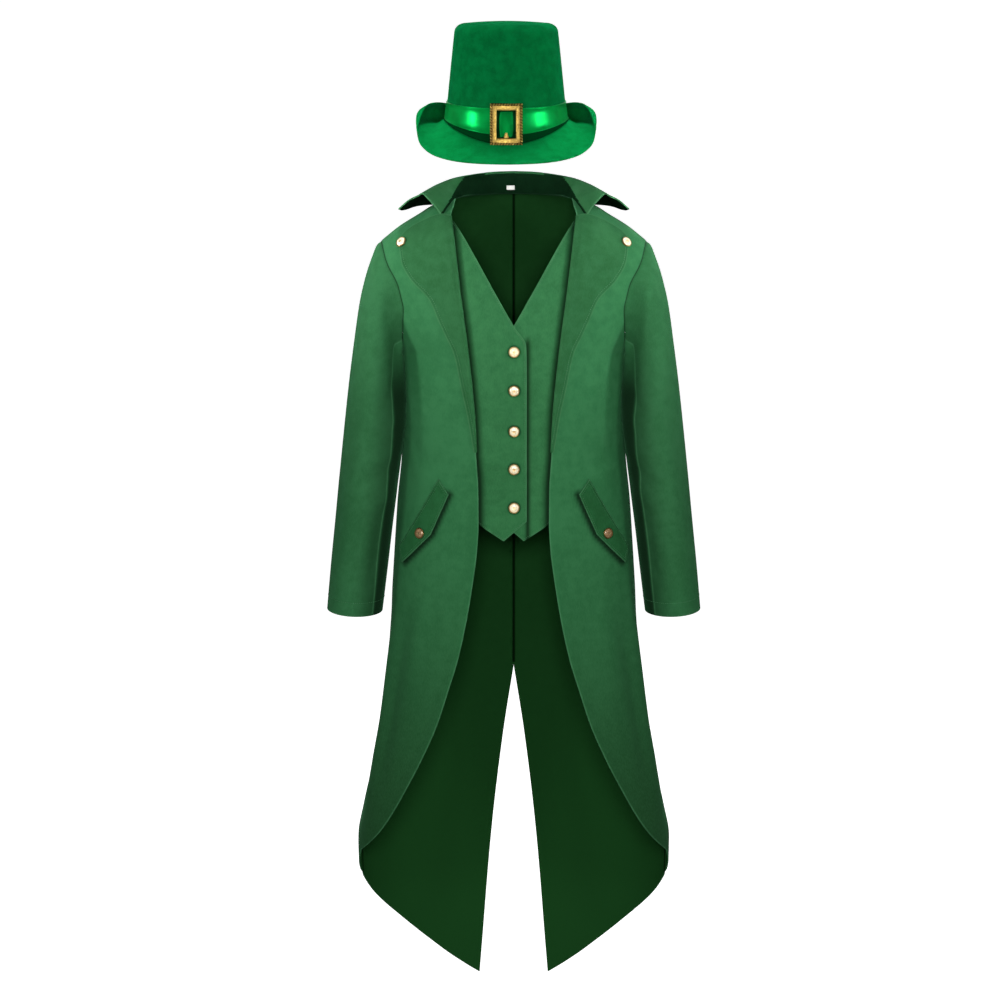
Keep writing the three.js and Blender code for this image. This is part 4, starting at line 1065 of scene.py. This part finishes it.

# %% [markdown]
# The collar is one cut: a stand that rises from the neck seam, a roll at its
# crest, and a fall that spreads into a wing on each side. It is turned up, so
# light shows under the wings. The tables give the seam, the crest and the free
# edge from the front end round to the middle of the back. A darker cloth paints
# the shade inside the stand, up to a slanting line at each wing, and on the
# collar's other face.

# %% Collar
COLLAR_ALONG = [0, 0.15, 0.33, 0.55, 0.78, 0.9, 1]
COLLAR_SEAM = [(117, -57, 2.6), (105, -30, 17.6), (95, 0, 24.5), (83, 37, 24.5), (47, 66, 24.5),
               (24, 74.6, 24.5), (0, 77, 24.5)]
COLLAR_CREST = [(145, -45, 35.5), (132, -22, 40.5), (118, 4, 45), (94, 40, 50), (54, 69, 54),
                (28, 80.5, 55.5), (0, 84, 56)]
COLLAR_EDGE = [(183, -42, 9), (178, -6, 4), (164, 36, 3), (128, 82, 3), (74, 110, 5), (39, 119, 6.5),
               (0, 122, 7)]
COLLAR_ROLL = 4.5
COLLAR_RIPPLE, COLLAR_WAVES = 1.6, 17
SHADED_STAND = 31
SHADE_EDGE = (76, 56)
SHADE_EDGE_SLANT = 0.8


def collar():
    along = stations(90, 0.008)
    seam, crest, edge = [curve(COLLAR_ALONG, rows)(along)
                         for rows in (COLLAR_SEAM, COLLAR_CREST, COLLAR_EDGE)]
    up = crest - seam
    up /= np.linalg.norm(up, axis=1, keepdims=True)
    down = edge - crest
    down /= np.linalg.norm(down, axis=1, keepdims=True)
    swell = np.array([0, 0, 2.5])
    ripple = COLLAR_RIPPLE * np.sin(along * COLLAR_WAVES + 0.6)[:, None] * (1 - along)[:, None] ** 0.5
    # Shares along the section, from the neck seam over the roll to the free edge, and their places.
    places = [
        (0.0, seam - up * 2.5), (0.22, mix(seam, crest, 0.42) - down * 1.2),
        (0.42, crest - up * COLLAR_ROLL * 1.6), (0.47, crest - up * 1.6 + down * 0.2),
        (0.5, crest + down * 1.9 + swell * 0.1), (0.56, crest + down * COLLAR_ROLL * 2 + swell * 0.3),
        (0.78, mix(crest, edge, 0.55) + swell + up * ripple), (1.0, edge + up * ripple * 0.7),
    ]
    section = curve([share for share, _ in places], np.array([place for _, place in places]))
    half = section(stations(46, 0.02)).swapaxes(0, 1)
    mirrored = half[:-1][::-1] * np.array([-1, 1, 1])
    points = np.concatenate([half, mirrored])[::-1]
    return Panel(points, outward(points))


panel = collar()
shown_face = Panel(panel.points - panel.out * COLLAR_CLOTH, -panel.out)
free = ["end", "bottom", "top"]
piece = sheet_of("collar_cloth", shown_face, COLLAR_CLOTH, (lapel_cloth, collar_painted_shade), free)
cloth = piece.data.uv_layers["cloth"].data
# Faces of the stand inside the slanting line get the darker cloth, a painted shade.
for face in piece.data.polygons:
    centre = face.center / MM
    in_shade = cloth[face.loop_start].uv.x < SHADED_STAND * MM
    if in_shade and abs(centre.x) < SHADE_EDGE[0] + (SHADE_EDGE[1] - centre.z) * SHADE_EDGE_SLANT:
        face.material_index = 1
placed(piece, "coat_cloth", "collar")
print("collar", round(cloth_area(panel), 4), "square metres")

# %% [markdown]
# A blank woven tab is sewn in at the back of the neck. It is a short strip with
# turned ends, and a stitch row at each end.

# %% Neck tab
TAB_THICKNESS = 0.8
TAB_LOWER = 3
TAB_BOW, TAB_SWELL = 1.6, 1.2


def woven_tab():
    material, shader, place = finish_named("tab_weave", Roughness=0.7)
    threads = place.stretched((1.0, 1.0, 2.5)).noise(1800.0, 2.0)
    white = threads.between(0.3, 0.7).mixed(rgba(0.62, 0.62, 0.58), rgba(0.85, 0.85, 0.82))
    connect(shader, Base_Color=white, Normal=threads.bump(0.4, 0.0004))
    return material


low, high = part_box("neck_tab")
tab_weave = woven_tab()
share, rise = stations(16, 0.04)[None, :], stations(10, 0.05)[:, None]
tab_x = mix(low.x, high.x, share) / MM + 0 * rise
tab_z = mix(low.z, high.z, rise) / MM - TAB_LOWER + 0 * share
tab_y = low.y / MM + TAB_BOW * (2 * share - 1) ** 2 - TAB_SWELL * np.sin(math.pi * rise)
to_front = np.broadcast_to((0.0, -1.0, 0.0), tab_x.shape + (3,))
tab = Panel(np.stack([tab_x, tab_y, tab_z], axis=-1), to_front)
piece = sheet_of("neck_tab_ribbon", tab, TAB_THICKNESS, (tab_weave,), ["start", "end"], edge_round=0.2)
placed(piece, "tab_ribbon", "neck_tab")
sewn("neck_tab_stitches", [tab.line("start", 1.5), tab.line("end", 1.5)], white_thread, "tab_ribbon")
print("neck tab", round(cloth_area(tab) * 1e6), "square millimetres")

# %% [markdown]
# Metal next. The buckle is gilt with a worn, grainy face. The buttons have a
# cream enamel dome in a rim of darker gilt, with a gilt bead in the middle, and
# those on the pocket flaps are tan. Noise leaves darker tarnish in places.

# %% Gilt
def gilt(name, bright, tarnished, rough, grain):
    """Gilt metal. rough is where it is bright, and it is rougher where it is tarnished."""
    material, shader, place = finish_named(name, Metallic=1.0)
    worn = place.noise(grain, 4.0, 0.65).between(0.38, 0.66)
    fine = place.noise(grain * 5, 2.0)
    connect(shader, Base_Color=worn.mixed(rgba(*tarnished), rgba(*bright)),
            Roughness=worn * -0.15 + (rough + 0.15), Normal=fine.bump(0.3, 0.0003))
    return material


buckle_gilt = gilt("buckle_gilt", (0.34, 0.235, 0.06), (0.2, 0.13, 0.03), 0.4, 420.0)
groove_gilt = gilt("groove_gilt", (0.07, 0.045, 0.012), (0.03, 0.018, 0.005), 0.5, 420.0)
rim_gilt = gilt("rim_gilt", (0.42, 0.27, 0.09), (0.2, 0.11, 0.03), 0.3, 260.0)
centre_gilt = gilt("centre_gilt", (0.75, 0.55, 0.3), (0.5, 0.33, 0.15), 0.4, 260.0)


def enamel(name, light, deep):
    """An enamel dome, glossy and a little mottled."""
    material, shader, place = finish_named(name, Metallic=0.15, Specular_IOR_Level=0.6)
    mottle = place.noise(300.0, 3.0).between(0.35, 0.65)
    connect(shader, Base_Color=mottle.mixed(rgba(*deep), rgba(*light)), Roughness=mottle * 0.1 + 0.25)
    return material


cream = enamel("cream_enamel", (0.78, 0.7, 0.5), (0.64, 0.55, 0.36))
tan = enamel("tan_enamel", (0.26, 0.155, 0.075), (0.17, 0.095, 0.045))
print("gilt in four tones, and two enamels")

# %% [markdown]
# A button is turned, so half its section, spun once round, makes all of it. The
# section goes from the bead over the dome and the rolled rim to the back. Which
# material a face gets depends on how far it is from the middle.

# %% Buttons
BUTTON_HEIGHT = 5.0
# Radius and height, as shares of the button's own, from the middle of its face to its back.
BUTTON_SECTION = [(0, 0.86), (0.2, 0.87), (0.27, 0.93), (0.34, 0.87), (0.5, 0.84), (0.66, 0.75),
                  (0.77, 0.62), (0.81, 0.5), (0.85, 0.5), (0.9, 0.58), (0.96, 0.5), (1.0, 0.34),
                  (0.96, 0.14), (0.86, 0.04), (0.6, 0.0), (0, 0.0)]
BUTTON_STEPS = 48
BEAD_END, DOME_END = 0.25, 0.82
LAPEL_BUTTON = (177.5, -37)
FLAP_BUTTON = (146.5, -507)


def button(name, at, out, dome):
    """A domed shank button with a beaded centre and a rolled rim, its back on the cloth."""
    bm = bmesh.new()
    profile = [bm.verts.new((r * BUTTON_RADIUS, 0, h * BUTTON_HEIGHT)) for r, h in BUTTON_SECTION]
    edges = [bm.edges.new(pair) for pair in zip(profile, profile[1:])]
    bmesh.ops.spin(bm, geom=profile + edges, cent=(0, 0, 0), axis=(0, 0, 1), angle=2 * math.pi,
                   steps=BUTTON_STEPS, use_merge=True)
    bmesh.ops.remove_doubles(bm, verts=bm.verts, dist=0.001)
    bmesh.ops.recalc_face_normals(bm, faces=bm.faces)
    for face in bm.faces:
        radius = face.calc_center_median().xy.length / BUTTON_RADIUS
        if radius < BEAD_END:
            face.material_index = 2
        elif radius >= DOME_END:
            face.material_index = 1
    turn = Vector((0, 0, 1)).rotation_difference(Vector(out)).to_matrix().to_4x4()
    bm.transform(Matrix.Scale(MM, 4) @ Matrix.Translation(Vector(at)) @ turn)
    obj = new_object(name + "_gilt", bm, dome, rim_gilt, centre_gilt)
    return placed(obj, "gilt_metal", name)


def on_body(x, height, side, lift):
    """A point of the body at this x and height, lifted off it, and the way out of it."""
    height = np.array(float(height))
    point, out = creased_body(turn_of(np.array(float(x)), height), height, side)
    mirror = np.array([side, 1, 1])
    return (point + out * lift) * mirror, out * mirror


for number, height in enumerate(VEST_BUTTON_HEIGHTS, 1):
    button(f"vest_button_{number}", *on_body(VEST_BUTTON_X, height, RIGHT, VEST_LIFT + 0.4), cream)
for side in (RIGHT, LEFT):
    name = SIDE_NAMES[side]
    button("lapel_button_" + name, *on_body(*LAPEL_BUTTON, side, LAPEL_LIFT + 0.2), cream)
    button("flap_button_" + name, *on_body(*FLAP_BUTTON, side, FLAP_CLOTH + 4.2), tan)
print(len(VEST_BUTTON_HEIGHTS) + 4, "buttons")

# %% [markdown]
# The hat is pressed from wool felt. It is dense and matt, with a short fuzz that
# lights up where it is seen edge on, which is what sheen does. Two sizes of
# noise give the clumps of wool and the single hairs. The crown's foot, in the
# shade of the band and the brim, is deeper in tone.

# %% Felt
FOOT_FADE = 0.003
FOOT_SHADE = 0.35


def felt(name, light, deep, foot=0.0):
    """foot is the height in metres below which the felt is deeper in tone."""
    material, shader, place = finish_named(
        name, Sheen_Weight=0.06, Sheen_Roughness=0.4, Specular_IOR_Level=0.0,
        Sheen_Tint=rgba(0.05, 1.0, 0.4))
    clumps = place.noise(60.0, 5.0, 0.65)
    fuzz = place.noise(1500.0, 3.0, 0.7)
    tone = (clumps * 0.5 + fuzz * 0.5).between(0.38, 0.62)
    relief = fuzz * 0.8 + clumps * 0.6
    raised = place.part(2).between(foot - FOOT_FADE, foot + FOOT_FADE)
    base_tone = raised.mixed(darker(deep, FOOT_SHADE), tone.mixed(rgba(*deep), rgba(*light)))
    connect(shader, Base_Color=base_tone, Roughness=fuzz * 0.1 + 0.85, Normal=relief.bump(0.5, 0.0008))
    return material


# The brim and the crown are one felt. The crown's tones are set darker than the brim's, a painted shade.
brim_felt = felt("brim_felt", (0.001, 0.135, 0.03), (0.0006, 0.09, 0.018))
crown_felt_painted_shade = felt("crown_felt_painted_shade", (0.0006, 0.07, 0.017), (0.0004, 0.042, 0.0095), 0.165)
print("felt for the brim and the crown")

# %% [markdown]
# Real felt is steamed and pulled over a wooden block, which makes one smooth
# round form. Here a section is spun once round by the operator, and each of its
# points is then moved to its real place, so that the round becomes an oval and
# the foot can rise to the sides. The crown and the ribbon share that oval.

# %% Hat form
HAT_PLACE = Vector((-12, 0, 126))
CROWN_HEIGHT = 186
CROWN_BASE, CROWN_TOP = (99.2, 112), (81.6, 92)
CROWN_ROUNDING = 15
CROWN_SLOPE = 0.08
CROWN_DOME = 4.0
JUNCTION_FRONT, JUNCTION_SIDE, JUNCTION_FADE = -3.4, 24, 50
HAT_STEPS = 144
TO_HAT = Matrix.Scale(MM, 4) @ Matrix.Translation(HAT_PLACE)


def crown_width(height, lift):
    return mix(CROWN_BASE[0], CROWN_TOP[0], height / CROWN_HEIGHT) + lift


def crown_point(turn, height, lift, scale=1.0):
    """A point of the crown's outline. Its foot rises to the sides, and its top falls to the back."""
    depth = mix(CROWN_BASE[1], CROWN_TOP[1], height / CROWN_HEIGHT) + lift
    foot = mix(JUNCTION_FRONT, JUNCTION_SIDE, math.sin(turn) ** 2)
    rise = foot * max(0.0, 1 - height / JUNCTION_FADE) ** 2
    y = -depth * scale * math.cos(turn)
    fall = CROWN_SLOPE * (y + CROWN_TOP[1]) * max(0.0, height / CROWN_HEIGHT) ** 3
    return Vector((crown_width(height, lift) * scale * math.sin(turn), y, height + rise - fall))


def spun(name, count, place, material, closed=False):
    """A section spun round the hat. place gives a point its real place from its turn and number."""
    bm = bmesh.new()
    line = [bm.verts.new((1, 0, i)) for i in range(count)]
    pairs = list(zip(line, line[1:])) + ([(line[-1], line[0])] if closed else [])
    edges = [bm.edges.new(pair) for pair in pairs]
    bmesh.ops.spin(bm, geom=line + edges, cent=(0, 0, 0), axis=(0, 0, 1), angle=2 * math.pi,
                   steps=HAT_STEPS, use_merge=True)
    for vert in bm.verts:
        vert.co = place(math.atan2(vert.co.x, -vert.co.y), round(vert.co.z))
    bmesh.ops.remove_doubles(bm, verts=bm.verts, dist=0.01)
    bmesh.ops.recalc_face_normals(bm, faces=bm.faces)
    bm.transform(TO_HAT)
    return new_object(name, bm, material)


print("crown", 2 * crown_width(0, 0), "mm wide at its foot")

# %% [markdown]
# The crown is a cup with a wall as thick as the felt. Its section starts in the
# middle of the top, rounds the corner, runs down the outside and comes back up
# the inside, so that one spin gives both faces.

# %% Crown
def crown_section():
    """Level, lift and scale of each point, from the middle of the top, down outside, and up inside."""
    def shell(inset):
        corner = [
            (CROWN_HEIGHT - CROWN_ROUNDING + math.sin(a) * (CROWN_ROUNDING - inset),
             -inset - (1 - math.cos(a)) * CROWN_ROUNDING, 1.0)
            for a in np.linspace(math.pi / 2, 0, 9)
        ]
        top = [
            (CROWN_HEIGHT - inset + CROWN_DOME * (1 - s ** 2), -inset - CROWN_ROUNDING, float(s))
            for s in np.linspace(0, 0.98, 16)
        ]
        levels = np.linspace(CROWN_HEIGHT - CROWN_ROUNDING - 4, -FELT, 40)
        side = [(float(level), -inset, 1.0) for level in levels]
        return top + corner + side

    return shell(0) + shell(FELT)[::-1]


section = crown_section()


def crown_place(turn, i):
    level, lift, scale = section[i]
    return crown_point(turn, level, lift, scale)


crown = spun("hat_crown_felt", len(section), crown_place, crown_felt_painted_shade)
placed(crown, "hat_felt", "hat_crown")
print("crown", len(crown.data.polygons), "faces")

# %% [markdown]
# The brim is flat at first, dips at the front and rolls up at the sides. One
# table has its section at the front, one at the sides, and a third says how much
# of the roll there is at each turn round the hat.

# %% Brim
BRIM_FRONT = [(0, 0), (13, -6), (27, -13), (40, -18), (50, -21.5), (58, -23)]
BRIM_SIDE = [(0, 0), (16, -8), (31, -7.5), (40.5, 1), (40, 11), (28, 19.5)]
ROLL_TURN = [0, 45, 59, 69, 77, 85, 95, 108, 135, 155, 180]
ROLL_SHARE = [0, 0.03, 0.11, 0.28, 0.5, 0.72, 0.92, 1, 1, 0.85, 0.4]
FULLER_OUT, FULLER_DOWN = 5, 7
REAR_RISE, REAR_TURN = 6, (96, 130)
BRIM_POINTS = 26

brim_front = curve(np.linspace(0, 1, len(BRIM_FRONT)), BRIM_FRONT)
brim_side = curve(np.linspace(0, 1, len(BRIM_SIDE)), BRIM_SIDE)
roll_at = curve(ROLL_TURN, ROLL_SHARE)


def brim_line(turn):
    """The brim's upper face from the crown to its edge, as points in the hat's own frame."""
    roll = float(roll_at(abs(math.degrees(turn))))
    along = np.linspace(0, 1, BRIM_POINTS)
    fuller = (along * math.sin(2 * turn) ** 2 * (1 - roll))[:, None] * (FULLER_OUT, -FULLER_DOWN)
    behind = float(smoothstep(abs(math.degrees(turn)), *REAR_TURN))
    rear = behind * (along ** 2)[:, None] * (0, REAR_RISE)
    places = mix(brim_front(along), brim_side(along), roll) + fuller + rear
    inner = crown_point(turn, 0, 0.3)
    way = Vector((math.sin(turn), -math.cos(turn), 0))
    return [inner + way * float(out) + Vector((0, 0, float(up))) for out, up in places]


def brim_wall(turn):
    """The same line, then back along the under face, with a round edge between them."""
    upper = brim_line(turn)
    ahead = [b - a for a, b in zip(upper, upper[1:])]
    ahead.append(ahead[-1])
    way = Vector((math.sin(turn), -math.cos(turn), 0))
    across = Vector((0, 0, 1)).cross(way)
    below = [across.cross(step).normalized() for step in ahead]
    under = [point + b * FELT for point, b in zip(upper, below)]
    edge = [(upper[-1] + under[-1]) / 2 + ahead[-1].normalized() * FELT * 0.45]
    return upper + edge + under[::-1]


walls = {}


def brim_place(turn, i):
    """Each turn's wall is worked out once and kept, as all its points ask for it."""
    key = round(turn, 5)
    if key not in walls:
        walls[key] = brim_wall(turn)
    return walls[key][i]


brim = spun("hat_brim_felt", 2 * BRIM_POINTS + 1, brim_place, brim_felt, closed=True)
placed(brim, "hat_felt", "hat_brim")
print("brim", len(brim.data.polygons), "faces")

# %% [markdown]
# The band is satin ribbon, with a corded edge along each side. Satin mirrors
# soft light in broad upright stripes, so its roughness is low and its threads
# run round the hat in a fine bump.

# %% Satin ribbon
BAND_LOW, BAND_HIGH = 13.5, 54
BEHIND_BUCKLE = 0.016
BUCKLE_SHADE_TONE = (0.0005, 0.012, 0.003)


def satin(name, light, deep, metallic, buckle_shade_share=0.0):
    """Satin's gloss has the ribbon's own colour, as a metal's has. Behind the buckle it is darker, a painted
    shade.
    """
    material, shader, place = finish_named(name, Metallic=metallic, Specular_IOR_Level=0.0)
    threads = place.stretched((1.0, 1.0, 14.0)).noise(320.0, 2.0)
    shade = place.noise(30.0, 2.0)
    across = place.part(0) - HAT_PLACE.x * MM
    # A painted shade on the band behind the buckle.
    middle = 1 - (across * across).between(BEHIND_BUCKLE ** 2 * 0.9, BEHIND_BUCKLE ** 2)
    hidden = middle * (1 - place.part(1).between(-0.03, 0))
    base_tone = shade.between(0.35, 0.65).mixed(rgba(*deep), rgba(*light))
    connect(shader, Base_Color=(hidden * buckle_shade_share).mixed(base_tone, rgba(*BUCKLE_SHADE_TONE)),
            Roughness=threads * 0.1 + 0.27, Normal=threads.bump(0.25, 0.0003))
    return material


band_satin = satin("band_satin", (0.0012, 0.19, 0.034), (0.0008, 0.14, 0.023), 0.5, 1.0)
# The puff is the same ribbon in darker tones, a painted shade in the buckle's window.
puff_satin_painted_shade = satin("puff_satin_painted_shade", (0.0006, 0.095, 0.016), (0.0004, 0.065, 0.01), 0.12)
# Level above the band's foot as a share of its width, and lift, round the ribbon's section.
BAND_SECTION = [(0.0, 0.2), (0.0, 1.1), (0.02, 1.6), (0.045, 1.6), (0.06, 1.05), (0.3, 1.25), (0.5, 1.3),
                (0.7, 1.25), (0.94, 1.05), (0.955, 1.6), (0.98, 1.6), (1.0, 1.1), (1.0, 0.2)]


def band_place(turn, i):
    share, lift = BAND_SECTION[i]
    wave = 0.35 * math.sin(3 * turn + 1) + 0.25 * math.sin(7 * turn)
    inside = 0.0 if lift < 0.5 else wave * math.sin(math.pi * share)
    return crown_point(turn, mix(BAND_LOW, BAND_HIGH, share), 0.2 + lift + inside)


band = spun("hat_band_satin", len(BAND_SECTION), band_place, band_satin, closed=True)
placed(band, "hat_ribbon", "hat_band")
print("band", BAND_HIGH - BAND_LOW, "mm wide,", len(band.data.polygons), "faces")

# %% [markdown]
# The buckle is a stamped frame, bent to the crown, with a rope of small slanted
# beads round its outer edge, in a darker groove, and a finer one round its
# window. The frame is a grid with its middle taken out, thickened and bevelled.

# %% Buckle
BUCKLE_WIDTH, BUCKLE_HEIGHT = 52, 66
WINDOW_WIDTH, WINDOW_HEIGHT = 30, 44
GROOVE_WIDTH = 4.2
RIBBON = 1.2
BAND_GAP, BUCKLE_GAP = 0.4, 0.8
BUCKLE_LIFT = BAND_GAP + RIBBON + BUCKLE_GAP
BUCKLE_LEVEL = 29
BUCKLE_THICKNESS, BAR_CROWN = 1.5, 0.5
BEAD_SLANT = 0.7


def on_band(x, up, lift):
    """A point at x across and up from the middle of the buckle, this far off the crown."""
    height = BUCKLE_LEVEL + up
    turn = math.asin(x / crown_width(height, lift))
    return Vector((x, crown_point(turn, height, lift).y, height))


def bent(bm, name, materials, slot, *nodes):
    """Bends a flat shape, whose z is its lift, to the front of the band."""
    for vert in bm.verts:
        vert.co = on_band(vert.co.x, vert.co.y, vert.co.z)
    bm.transform(TO_HAT)
    return placed(new_object(name, bm, *materials), slot, *nodes)


def thickened(bm, back):
    """Extrudes an open shape to a flat back at this lift."""
    made = bmesh.ops.extrude_face_region(bm, geom=list(bm.faces))
    for vert in [g for g in made["geom"] if isinstance(g, bmesh.types.BMVert)]:
        vert.co.z = back
    bmesh.ops.recalc_face_normals(bm, faces=bm.faces)


def buckle():
    bm = bmesh.new()
    half = (BUCKLE_WIDTH / 2, BUCKLE_HEIGHT / 2)
    bmesh.ops.create_grid(bm, x_segments=54, y_segments=66, size=1)
    bmesh.ops.scale(bm, vec=(half[0], half[1], 1), verts=bm.verts)
    inside = [f for f in bm.faces if abs(f.calc_center_median().x) < WINDOW_WIDTH / 2
              and abs(f.calc_center_median().y) < WINDOW_HEIGHT / 2]
    bmesh.ops.delete(bm, geom=inside, context="FACES")
    for vert in bm.verts:
        outer = min(half[0] - abs(vert.co.x), half[1] - abs(vert.co.y))
        inner = max(abs(vert.co.x) - WINDOW_WIDTH / 2, abs(vert.co.y) - WINDOW_HEIGHT / 2)
        crown_of_bar = math.sin(math.pi * max(0.0, min(1.0, outer / (outer + max(inner, 0.01)))))
        vert.co.z = BUCKLE_LIFT + BUCKLE_THICKNESS + BAR_CROWN * crown_of_bar
    thickened(bm, BUCKLE_LIFT)
    sharp = [e for e in bm.edges if e.is_manifold and e.calc_face_angle() > math.radians(50)]
    bmesh.ops.bevel(bm, geom=sharp, offset=0.35, segments=2, profile=0.5, material=-1, affect="EDGES")
    for face in bm.faces:
        centre = face.calc_center_median()
        groove = min(half[0] - abs(centre.x), half[1] - abs(centre.y)) < GROOVE_WIDTH
        face.material_index = int(groove)
    return bent(bm, "hat_buckle_gilt", (buckle_gilt, groove_gilt), "gilt_metal", "hat_buckle")


def rope(name, width, height, bead, pitch, lift):
    """Slanted beads round a rectangle, like a twisted cord."""
    bm = bmesh.new()
    corners = [(right * width / 2, up * height / 2) for right, up in ((-1, -1), (1, -1), (1, 1), (-1, 1))]
    for (x0, y0), (x1, y1) in zip(corners, corners[1:] + corners[:1]):
        length = math.hypot(x1 - x0, y1 - y0)
        count = round(length / pitch)
        slanted = Matrix.Rotation(math.atan2(y1 - y0, x1 - x0) + BEAD_SLANT, 4, "Z")
        shape = Matrix.Diagonal((bead * 0.95, bead * 0.5, bead * 0.6, 1))
        for share in np.arange(count) / count:
            place = Matrix.Translation((mix(x0, x1, share), mix(y0, y1, share), lift))
            bmesh.ops.create_icosphere(bm, subdivisions=2, radius=1, matrix=place @ slanted @ shape)
    print(name, len(bm.faces), "faces")
    return bent(bm, name, (buckle_gilt,), "gilt_metal")


buckle()
rope("hat_buckle_rope", BUCKLE_WIDTH - 3.4, BUCKLE_HEIGHT - 3.4, 2.3, 4.4, BUCKLE_LIFT + 2.5)
rope("hat_buckle_inner_rope", WINDOW_WIDTH + 2.4, WINDOW_HEIGHT + 2.4, 1.2, 2.2, BUCKLE_LIFT + 2.0)

# %% [markdown]
# In the window a short puff of the ribbon shows, gathered at its head and foot,
# and the buckle's prong crosses its foot.

# %% Ribbon puff and prong
PUFF_WIDTH, PUFF_HEIGHT, PUFF_SWELL = 22, 40, 2.6
PRONG_WIDTH, PRONG_LENGTH, PRONG_THICKNESS, PRONG_TAPER = 8, 9, 2.2, 0.45


def puff():
    """s runs across the puff and t up it, both from -1 to 1."""
    bm = bmesh.new()
    bmesh.ops.create_grid(bm, x_segments=30, y_segments=50, size=1)
    for vert in bm.verts:
        s, t = vert.co.x, vert.co.y
        waist = 1 - 0.16 * abs(t) ** 3
        swell = (1 - s * s) ** 0.5 * (1 - t ** 6) if abs(s) < 1 else 0.0
        gather = 0.35 * math.sin(9 * s + 0.8) * t * t + 0.3 * math.sin(4 * s + 5 * t)
        lift = BUCKLE_LIFT + 0.2 + PUFF_SWELL * swell + gather * swell
        vert.co = Vector((s * PUFF_WIDTH / 2 * waist, t * PUFF_HEIGHT / 2, lift))
    thickened(bm, BUCKLE_LIFT - 0.4)
    return bent(bm, "hat_band_puff", (puff_satin_painted_shade,), "hat_ribbon", "hat_band_tab")


def prong():
    bm = bmesh.new()
    middle = -WINDOW_HEIGHT / 2 + 0.2 + PRONG_LENGTH / 2
    place = Matrix.Translation((0, middle, BUCKLE_LIFT + 3.1))
    shape = Matrix.Diagonal((PRONG_WIDTH, PRONG_LENGTH, PRONG_THICKNESS, 1))
    bmesh.ops.create_cube(bm, size=1, matrix=place @ shape)
    for vert in bm.verts:
        if vert.co.y > middle:
            vert.co.x *= PRONG_TAPER
    bmesh.ops.bevel(bm, geom=list(bm.edges), offset=0.8, segments=3, profile=0.5, material=-1,
                    affect="EDGES")
    return bent(bm, "hat_prong_gilt", (buckle_gilt,), "gilt_metal", "hat_buckle_prong")


puff()
prong()
print("hat done")

# %% [markdown]
# The studio has a pale floor a little below the hanging coat. It glows softly,
# so that it comes out white all over. It is hidden from the rays that light the
# cloth and the metal, so that its glow doesn't flatten their folds.

# %% Floor
FLOOR_HEIGHT = -1.33
FLOOR_SIZE = 90


def studio_floor():
    material, shader, place = finish_named("studio_floor", Roughness=0.9, Emission_Strength=0.85)
    grain = place.noise(2.0, 2.0).between(0.3, 0.7)
    connect(shader, Base_Color=grain.mixed(rgba(0.93, 0.93, 0.93), rgba(0.95, 0.95, 0.95)))
    shader.inputs["Emission Color"].default_value = rgba(1, 1, 1)
    bm = bmesh.new()
    bmesh.ops.create_grid(bm, x_segments=1, y_segments=1, size=FLOOR_SIZE,
                          matrix=Matrix.Translation((0, 0, FLOOR_HEIGHT)))
    floor = new_object("floor", bm, material)
    floor.visible_diffuse = False
    floor.visible_glossy = False


studio_floor()
print("floor at", FLOOR_HEIGHT, "m")

# %% [markdown]
# Soft light shows cloth best: white light from all round, a large soft key from
# the front, two weaker lamps at the sides and one at the back. A narrow upright
# soft box on each side of the hat makes the stripes on its satin ribbon, and a
# small lamp above lights the crown's top edge.

# %% Light
def soft_box(name, place, target, width, height, power, spread=180, mirrored=True):
    """A soft white lamp. mirrored says whether glossy things show it."""
    lamp = bpy.data.lights.new(name, "AREA")
    lamp.shape = "RECTANGLE"
    lamp.size, lamp.size_y = width, height
    lamp.energy = power
    lamp.spread = math.radians(spread)
    obj = bpy.data.objects.new(name, lamp)
    obj.location = place
    obj.visible_glossy = mirrored
    obj.rotation_euler = (Vector(target) - Vector(place)).to_track_quat("-Z", "Y").to_euler()
    bpy.context.scene.collection.objects.link(obj)


WORLD_STRENGTH = 0.2

world = bpy.data.worlds.new("studio")
bpy.context.scene.world = world
world.use_nodes = True
background = world.node_tree.nodes["Background"].inputs
background["Color"].default_value = rgba(1, 1, 1)
background["Strength"].default_value = WORLD_STRENGTH
soft_box("key", (0.0, -5.0, 0.5), (0, 0, -0.45), 1.2, 1.0, 210)
for side in (LEFT, RIGHT):
    name = SIDE_NAMES[side]
    soft_box("coat_" + name, (side * 3.3, -3.8, 0.8), (0, 0, -0.45), 1.0, 1.4, 70, mirrored=False)
    soft_box("hat_" + name, (side * 1.3, -0.45, 0.25), (0, 0, 0.23), 0.16, 0.9, 1.6, spread=30)
soft_box("hat_top", (0.0, 0.3, 1.5), (0, 0, 0.3), 0.4, 0.4, 1.2, spread=25)
soft_box("back", (0.0, 4.0, 1.6), (0, 0, -0.3), 2.4, 1.6, 60)
print(len(bpy.data.lights), "lamps")

# %% [markdown]
# The camera stands far off with a long lens, a little above, so that the coat
# and the hat are seen almost without perspective. The lens follows from the
# distance and from how many metres the picture is wide.

# %% Camera
CAMERA_DISTANCE = 40.0
CAMERA_RISE = math.radians(7.5)
CAMERA_TARGET = Vector((-0.022, 0, -0.463))
FRAME_WIDTH = 1.6
SENSOR = 36.0

camera_data = bpy.data.cameras.new("camera")
camera_data.sensor_width = SENSOR
camera_data.lens = SENSOR * CAMERA_DISTANCE / FRAME_WIDTH
camera = bpy.data.objects.new("camera", camera_data)
away = Vector((0, -math.cos(CAMERA_RISE), math.sin(CAMERA_RISE)))
camera.location = CAMERA_TARGET + away * CAMERA_DISTANCE
camera.rotation_euler = (-away).to_track_quat("-Z", "Y").to_euler()
bpy.context.scene.collection.objects.link(camera)
bpy.context.scene.camera = camera
bpy.context.scene.view_settings.view_transform = "Standard"
print("lens", round(camera_data.lens), "mm")
